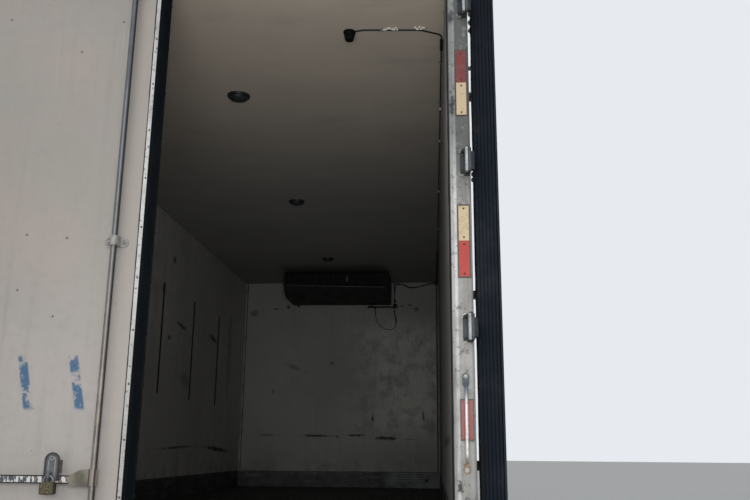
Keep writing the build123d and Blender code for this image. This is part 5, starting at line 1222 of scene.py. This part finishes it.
class COLDBOX_OT_door_fixings(bpy.types.Operator):
    """Set the rivets, bolts, studs and seams of both rear doors"""

    bl_idname = "coldbox.door_fixings"
    bl_label = "Door fixings"

    def execute(self, context):
        for leaf in LEAVES:
            self.trim_rivets(leaf, context.scene.coldbox_looks.rivet)
            self.bolts(leaf)
            self.seams(leaf)
        return {"FINISHED"}

    @staticmethod
    def trim_rivets(leaf, radius):
        """Rivets round the outer and inner trims, and the studs that hold the gasket's free edge."""
        widths = row(HINGE_EDGE_X + 0.10, leaf.edge_x - 0.10, 0.2)
        outer, inner = [], []
        for z in TRIM_RIVET_ROWS:
            clear = all(abs(z - FLOOR_Z - strap) > 0.034 for strap in HINGE_ROWS)
            outer.append((leaf.edge_x - 0.0062, z))
            if clear:
                outer.append((HINGE_EDGE_X + 0.009, z))
            inner += [(x, z + 0.05) for x in (leaf.edge_x - 0.013, HINGE_EDGE_X + 0.010)]
        for z in (DOOR_FOOT_Z + 0.009, DOOR_HEAD_Z - 0.009):
            outer += [(x, z) for x in widths if abs(x - ROD_X) > KEEPER_HALF_WIDTH]
            inner += [(x, z) for x in widths]
        rivets = leaf.spots(TRIM_FACE_Y, BACK, outer) + leaf.spots(TRIM_BACK_Y, AHEAD, inner)
        seated(f"{leaf.side}_trim_rivets", "dome", (radius, radius * 0.5), rivets, "rivet", leaf.body)
        studs = leaf.spots(BULB_Y, AHEAD, [(leaf.edge_x + 0.012, z) for z in TRIM_RIVET_ROWS])
        seated(f"{leaf.side}_gasket_studs", "dome", (0.0065, 0.0045), studs, "screw", leaf.body)

    @staticmethod
    def bolts(leaf):
        """Bolts of the hinge straps and rod guides, and their nuts inside."""
        straps = [(x, FLOOR_Z + z) for z in HINGE_ROWS for x in STRAP_BOLTS_X]
        guides = [(ROD_X + shift, FLOOR_Z + z) for z in GUIDE_ROWS for shift in GUIDE_BOLTS]
        for part, y, way, places, sizes, finish, seed in (
            ("strap_bolts", STRAP_FACE_Y, BACK, straps, (0.0095, 0.0075), "bolt", 11),
            ("guide_bolts", GUIDE_FACE_Y, BACK, guides, (0.0070, 0.0058), "bolt", 12),
            ("inner_nuts", TRIM_BACK_Y - 0.002, AHEAD, straps + guides, (0.0080, 0.0060), "bolt_bright", 13),
        ):
            spots = turned(leaf.spots(y, way, places), seed)
            seated(f"{leaf.side}_{part}", "hexagon", sizes, spots, finish, leaf.body)

    @staticmethod
    def seams(leaf):
        """Thin sealed seams along the trims' inner edges, outside and inside."""
        runs = []
        for y, leg in ((TRIM_FACE_Y + 0.0004, TRIM_LEG - 0.0022), (TRIM_BACK_Y - 0.0024, TRIM_LEG)):
            start, end = HINGE_EDGE_X + leg, leaf.edge_x - leg
            foot, head = DOOR_FOOT_Z + leg, DOOR_HEAD_Z - leg
            corners = ((start, foot), (end, foot), (end, head), (start, head), (start, foot))
            runs.append([leaf.at(x, y, z) for x, z in corners])
        bead(f"{leaf.side}_trim_seams", runs, 0.0023, "dark_seam", 0.08, 0.25, 21, leaf.body)


class COLDBOX_OT_frame_fixings(bpy.types.Operator):
    """Set the bolts, screws and rivets of the rear frame, rails, kick plates and corner angles"""

    bl_idname = "coldbox.frame_fixings"
    bl_label = "Frame fixings"

    def execute(self, context):
        self.rear_frame()
        self.rails()
        self.load_space()
        return {"FINISHED"}

    @staticmethod
    def rear_frame():
        """Bolts of hinges, keepers, handles and buffers; the plates' screws; the rivets above and below."""
        steel, buffer = REAR_Y - 0.005, low("rubber_buffers").y + 0.001
        hinges = [((HINGE_PLATE_X, steel, FLOOR_Z + z + s), BACK) for z in HINGE_ROWS for s in HINGE_BOLTS]
        keepers = [((ROD_X + shift, steel, z), BACK) for z in KEEPER_ROWS_Z for shift in KEEPER_BOLTS]
        grabs = [((GRAB_X, REAR_Y - 0.004, FLOOR_Z + z), BACK) for z in GRAB_ROWS]
        buffers = [((x, buffer, BUFFER_Z), BACK) for x in BUFFER_BOLTS_X]
        for name, spots, sizes, seed in (
            ("hinge_plate_bolts", hinges + keepers, (0.0072, 0.0058), 31),
            ("grab_pad_bolts", grabs, (0.0050, 0.0050), 32),
            ("buffer_bolts", buffers, (0.0090, 0.0040), 33),
        ):
            seated(name, "hexagon", sizes, turned(both_sides(spots), seed), "bolt")
        levels = [FLOOR_Z + z for start, end in PLATE_ROWS for z in (start + 0.014, end - 0.014)]
        screws = both_sides([((PLATE_X, low("reflective_plates").y, z), BACK) for z in levels])
        seated("plate_screws", "dome", (0.0042, 0.0018), screws, "screw")
        places = [(x, HEADER_Z) for x in row(0.06, 1.16, 0.22)] + [(x, THRESHOLD_Z) for x in row(0.05, 1.27, 0.2)]
        rivets = both_sides([((x, REAR_Y, z), BACK) for x, z in places if abs(x + ROD_X) > KEEPER_HALF_WIDTH])
        seated("rear_frame_rivets", "dome", (0.0055, 0.0025), rivets, "rivet_alloy")

    @staticmethod
    def rails():
        """Rivets of the edge rails, outside along the sides, the roof and the front corners."""
        leg, pitch = 0.068, 0.14
        spots = []
        for y in row(WALL_Y + 0.06, FRONT_Y - 0.08, pitch):
            spots += [((OUTER_X, y, TOP_Z - leg), RIGHT), ((OUTER_X, y, PANEL_Z + 0.105), RIGHT)]
            spots.append(((OUTER_X - leg, y, TOP_Z), UP))
        for z in row(PANEL_Z + 0.20, TOP_Z - 0.20, pitch):
            spots.append(((OUTER_X, FRONT_Y - leg, z), RIGHT))
            spots.append(((OUTER_X - leg, high("edge_profiles").y, z), AHEAD))
        seated("edge_rail_rivets", "dome", (0.0058, 0.0026), both_sides(spots), "rivet_alloy")

    @staticmethod
    def load_space():
        """Rivets of the kick plates and corner angles, and the screws of the wall strips."""
        side, level = WALL_X - 0.003, KICK_Z - 0.022
        spots = both_sides([((side, y, level), LEFT) for y in row(WALL_Y + 0.08, BULKHEAD_Y - 0.1, 0.3)])
        spots += [((x, BULKHEAD_Y - 0.003, level), BACK) for x in row(-1.1, 1.1, 0.275)]
        seated("kick_plate_rivets", "dome", (0.006, 0.0026), spots, "rivet_alloy")
        legs = [((WALL_X - 0.002, BULKHEAD_Y - 0.020, z), LEFT) for z in row(0.55, 2.62, 0.23)]
        legs += [((WALL_X - 0.018, BULKHEAD_Y - 0.002, z), BACK) for z in row(0.50, 2.57, 0.23)]
        seated("corner_angle_rivets", "dome", (0.0045, 0.002), both_sides(legs), "rivet")
        screws = [
            ((-side, REAR_Y + place, z), RIGHT)
            for place in STRIP_PLACES for z in row(FLOOR_Z + 0.93, FLOOR_Z + 1.82, 0.15)
        ]
        seated("wall_strip_screws", "dome", (0.0038, 0.0016), screws, "bolt_bright")


class COLDBOX_OT_load_floor(bpy.types.Operator):
    """Cover the floor plate with its raised lugs"""

    bl_idname = "coldbox.load_floor"
    bl_label = "Tread lugs"

    def execute(self, context):
        pitch = context.scene.coldbox_looks.lug_pitch
        along = row(WALL_Y + 0.03, BULKHEAD_Y - 0.03, pitch)
        spots = [
            ((x, y, FLOOR_Z), UP, math.radians(45.0 if (i + k) % 2 else 135.0))
            for i, x in enumerate(row(-WALL_X + 0.03, WALL_X - 0.03, pitch)) for k, y in enumerate(along)
        ]
        finish = NODES["floor_plate"].data.materials[0]
        seated("tread_lugs", "lug", (pitch * 0.30, 0.0042, 0.0017), spots, finish)
        return {"FINISHED"}


class COLDBOX_OT_sealant(bpy.types.Operator):
    """Run the sealant along the inside corners and dab it on the ceiling cable"""

    bl_idname = "coldbox.sealant"
    bl_label = "Sealant"

    def execute(self, context):
        x, z = WALL_X - 0.001, CEILING_Z - 0.001
        left = [(-x, WALL_Y + 0.01, z), (-x, BULKHEAD_Y - 0.035, z)]
        right = [(x, WALL_Y + 0.01, z), (x, low("junction_box").y - 0.004, z)]
        bead("corner_sealant", [left, right], 0.0055, "sealant", 0.09, 0.35, 41)
        reveal, kick = WALL_Y + 0.0006, KICK_Z + 0.0005
        doorway = [
            [(side * x, reveal, KICK_Z + 0.01), (side * x, reveal, z), (side * 1.12, reveal, z)] for side in (-1, 1)
        ]
        bead("doorway_sealant", doorway, 0.0040, "dark_seam", 0.07, 0.3, 42)
        runs = [[(side * x, WALL_Y + 0.02, kick), (side * x, BULKHEAD_Y - 0.035, kick)] for side in (-1, 1)]
        runs.append([(-WALL_X + 0.035, BULKHEAD_Y - 0.001, kick), (WALL_X - 0.035, BULKHEAD_Y - 0.001, kick)])
        bead("kick_plate_sealant", runs, 0.0028, "dark_seam", 0.1, 0.3, 43)
        self.dabs()
        return {"FINISHED"}

    @staticmethod
    def dabs():
        """Old sealant smeared over the cable where it crosses the ceiling, and pale ties along its run."""
        draw = random.Random(44)
        spots = []
        for start, end in ((0.917, 0.982), (1.072, 1.117)):
            for x in row(start, end, 0.0075):
                lift = draw.uniform(-1.0, 1.0)
                place = (x, CABLE_Y + lift * 0.009, CABLE_Z + abs(lift) * 0.0065)
                spots.append((place, (0.0, -0.75, -0.66), draw.uniform(0.0, math.pi)))
        corner_x = high("ceiling_cable").x - 0.0085
        for y in CABLE_TIES_Y:
            spots += [((corner_x, y + shift, CABLE_Z), (-0.3, -0.8, -0.5)) for shift in (0.0, 0.02)]
        pale = plastic_paint("sealant_pale", (0.92, 0.89, 0.83), 0.6, 90.0, 0.3)
        seated("cable_sealant_dabs", "dome", (0.0055, 0.0042), spots, pale)


class COLDBOX_OT_lamps(bpy.types.Operator):
    """Set the ceiling lamps' rims, lenses and screws"""

    bl_idname = "coldbox.lamps"
    bl_label = "Ceiling lamps"

    def execute(self, context):
        face = low("ceiling_lamps").z
        places = [((0.0, REAR_Y + y, face), DOWN) for y in LAMP_PLACES]
        dull = plastic_paint("lamp_rim", (0.05, 0.052, 0.056), 0.3)
        seated("ceiling_lamp_rims", "ring", (0.047, 0.0022), places, dull)
        glass = plastic_paint("lamp_glass", (0.045, 0.052, 0.060), 0.35, 220.0, 0.3)
        seated("ceiling_lamp_glass", "dome", (0.040, 0.0012), places, glass)
        screws = [
            ((LAMP_SCREWS_OUT * math.cos(a), REAR_Y + y + LAMP_SCREWS_OUT * math.sin(a), face + 0.002), DOWN)
            for y in LAMP_PLACES for a in (0.5, 2.6, 4.7)
        ]
        seated("ceiling_lamp_screws", "dome", (0.0042, 0.0034), screws, "bolt")
        return {"FINISHED"}


class COLDBOX_OT_cooling(bpy.types.Operator):
    """Set the fins and screws of the evaporator and of the condensing unit"""

    bl_idname = "coldbox.cooling"
    bl_label = "Cooling parts"

    def execute(self, context):
        self.evaporator()
        self.condenser()
        return {"FINISHED"}

    @staticmethod
    def evaporator():
        """Fins behind the vanes; on the cover a seam, the tray's lip, a bright strip and screws."""
        start, end = low("evaporator_housing"), high("evaporator_housing")
        foot, head = low("evaporator_vanes"), high("evaporator_vanes")
        fins = [((x, head.y + 0.008, (foot.z + head.z) / 2.0), UP) for x in row(foot.x, head.x, 0.009)]
        dull = metal_paint("evaporator_fins", (0.05, 0.05, 0.052), 0.5, 0.3)
        seated("evaporator_fin_pack", "bar", (0.0008, 0.010, head.z - foot.z), fins, dull)
        cover = BVHTree.FromObject(NODES["evaporator_housing"], bpy.context.evaluated_depsgraph_get())

        def front(x, z):
            """The place on the cover's front at that width and height."""
            hit = cover.ray_cast(Vector((x, start.y - 0.5, z)), Vector(AHEAD))[0]
            return hit if hit is not None else Vector((x, start.y, z))

        seam = [front(x, 2.598 - 0.030 * (x - start.x) / (end.x - start.x)) for x in row(-0.585, 0.585, 0.06)]
        pale = plastic_paint("cover_seam_pale", (0.20, 0.20, 0.20), 0.5, 90.0, 0.3)
        bead("evaporator_seam", [seam], 0.0035, pale)
        tray = [front(x, start.z + 0.046) for x in row(-0.40, 0.52, 0.07)]
        brown = plastic_paint("tray_lip_brown", (0.070, 0.050, 0.036), 0.6, 90.0, 0.2)
        bead("evaporator_tray_lip", [tray], 0.0050, brown, 0.07, 0.2, 51)
        bright = metal_paint("tag_strip_bright", (0.42, 0.42, 0.41), 0.5, 0.2)
        tag = [((0.145, start.y - 0.0012, 2.668), UP)]
        seated("evaporator_tag_strip", "bar", (0.007, 0.002, 0.066), tag, bright)
        screws = [(front(x, 2.606), BACK) for x in row(-0.55, 0.55, 0.22)]
        seated("evaporator_cover_screws", "dome", (0.0055, 0.0028), screws, "bolt")

    @staticmethod
    def condenser():
        """Fins of the coil, and the screws of the unit's shell and fan guards."""
        foot, head = low("condenser_coil"), high("condenser_coil")
        middle, tall = (foot.z + head.z) / 2.0, head.z - foot.z - 0.03
        fins = [((x, head.y + 0.005, middle), UP) for x in row(foot.x + 0.02, head.x - 0.02, 0.0045)]
        finish = NODES["condenser_coil"].data.materials[0]
        seated("condenser_coil_fins", "bar", (0.0007, 0.012, tall), fins, finish)
        bottom, top = low("condenser_shell").z + 0.05, high("condenser_shell").z - 0.05
        screws = [((x, high("condenser_shell").y, z), AHEAD) for x in (0.03, 0.78) for z in (bottom, top)]
        seated("unit_cover_screws", "dome", (0.009, 0.004), both_sides(screws), "bolt_bright")
        guard, rims = high("fan_guards").y - 0.0008, []
        for angle in (math.radians(60.0 * index + 30.0) for index in range(6)):
            x, z = FAN_X + GUARD_SCREWS_OUT * math.cos(angle), FAN_Z + GUARD_SCREWS_OUT * math.sin(angle)
            rims.append(((x, guard, z), AHEAD))
        rims = turned(both_sides(rims), 52)
        seated("fan_guard_screws", "hexagon", (0.0058, 0.0046), rims, "bolt_bright")


class COLDBOX_OT_padlock(bpy.types.Operator):
    """Set the padlock's keyhole and collars"""

    bl_idname = "coldbox.padlock"
    bl_label = "Padlock"

    def execute(self, context):
        middle = (low("padlock") + high("padlock")) / 2.0
        dark = metal_paint("lock_core", (0.10, 0.09, 0.07), 0.4, 0.5, 0.1, 4.0)
        keyhole = [((middle.x, middle.y, low("padlock").z), DOWN)]
        seated("padlock_keyhole", "collar", (0.0072, 0.0016, 0.0045), keyhole, dark, "left_door")
        collars = [((middle.x + side * 0.017, middle.y, SHACKLE_Z), UP) for side in (-1, 1)]
        seated("padlock_collars", "collar", (0.0066, 0.0022, 0.0056), collars, dark, "left_door")
        return {"FINISHED"}


class COLDBOX_PT_panel(bpy.types.Panel):
    """Lists the steps in the 3D view's sidebar"""

    bl_idname = "COLDBOX_PT_panel"
    bl_label = "Box body"
    bl_space_type = "VIEW_3D"
    bl_region_type = "UI"
    bl_category = "Box body"

    def draw(self, context):
        looks = context.scene.coldbox_looks
        for name in ("skin", "ceiling", "shell", "door", "backdrop", "rivet", "lug_pitch"):
            self.layout.prop(looks, name)
        for step in STEPS:
            self.layout.operator(step.bl_idname)


STEPS = (
    COLDBOX_OT_stage, COLDBOX_OT_leads, COLDBOX_OT_finishes, COLDBOX_OT_door_fixings, COLDBOX_OT_frame_fixings,
    COLDBOX_OT_load_floor, COLDBOX_OT_sealant, COLDBOX_OT_lamps, COLDBOX_OT_cooling, COLDBOX_OT_padlock,
)
CLASSES = (ColdboxLooks, *STEPS, COLDBOX_PT_panel)


def register():
    for item in CLASSES:
        bpy.utils.register_class(item)
    bpy.types.Scene.coldbox_looks = bpy.props.PointerProperty(type=ColdboxLooks)


def unregister():
    del bpy.types.Scene.coldbox_looks
    for item in reversed(CLASSES):
        bpy.utils.unregister_class(item)


def main():
    register()
    for step in STEPS:
        getattr(bpy.ops.coldbox, step.bl_idname.split(".")[1])()


if __name__ == "__main__":
    main()
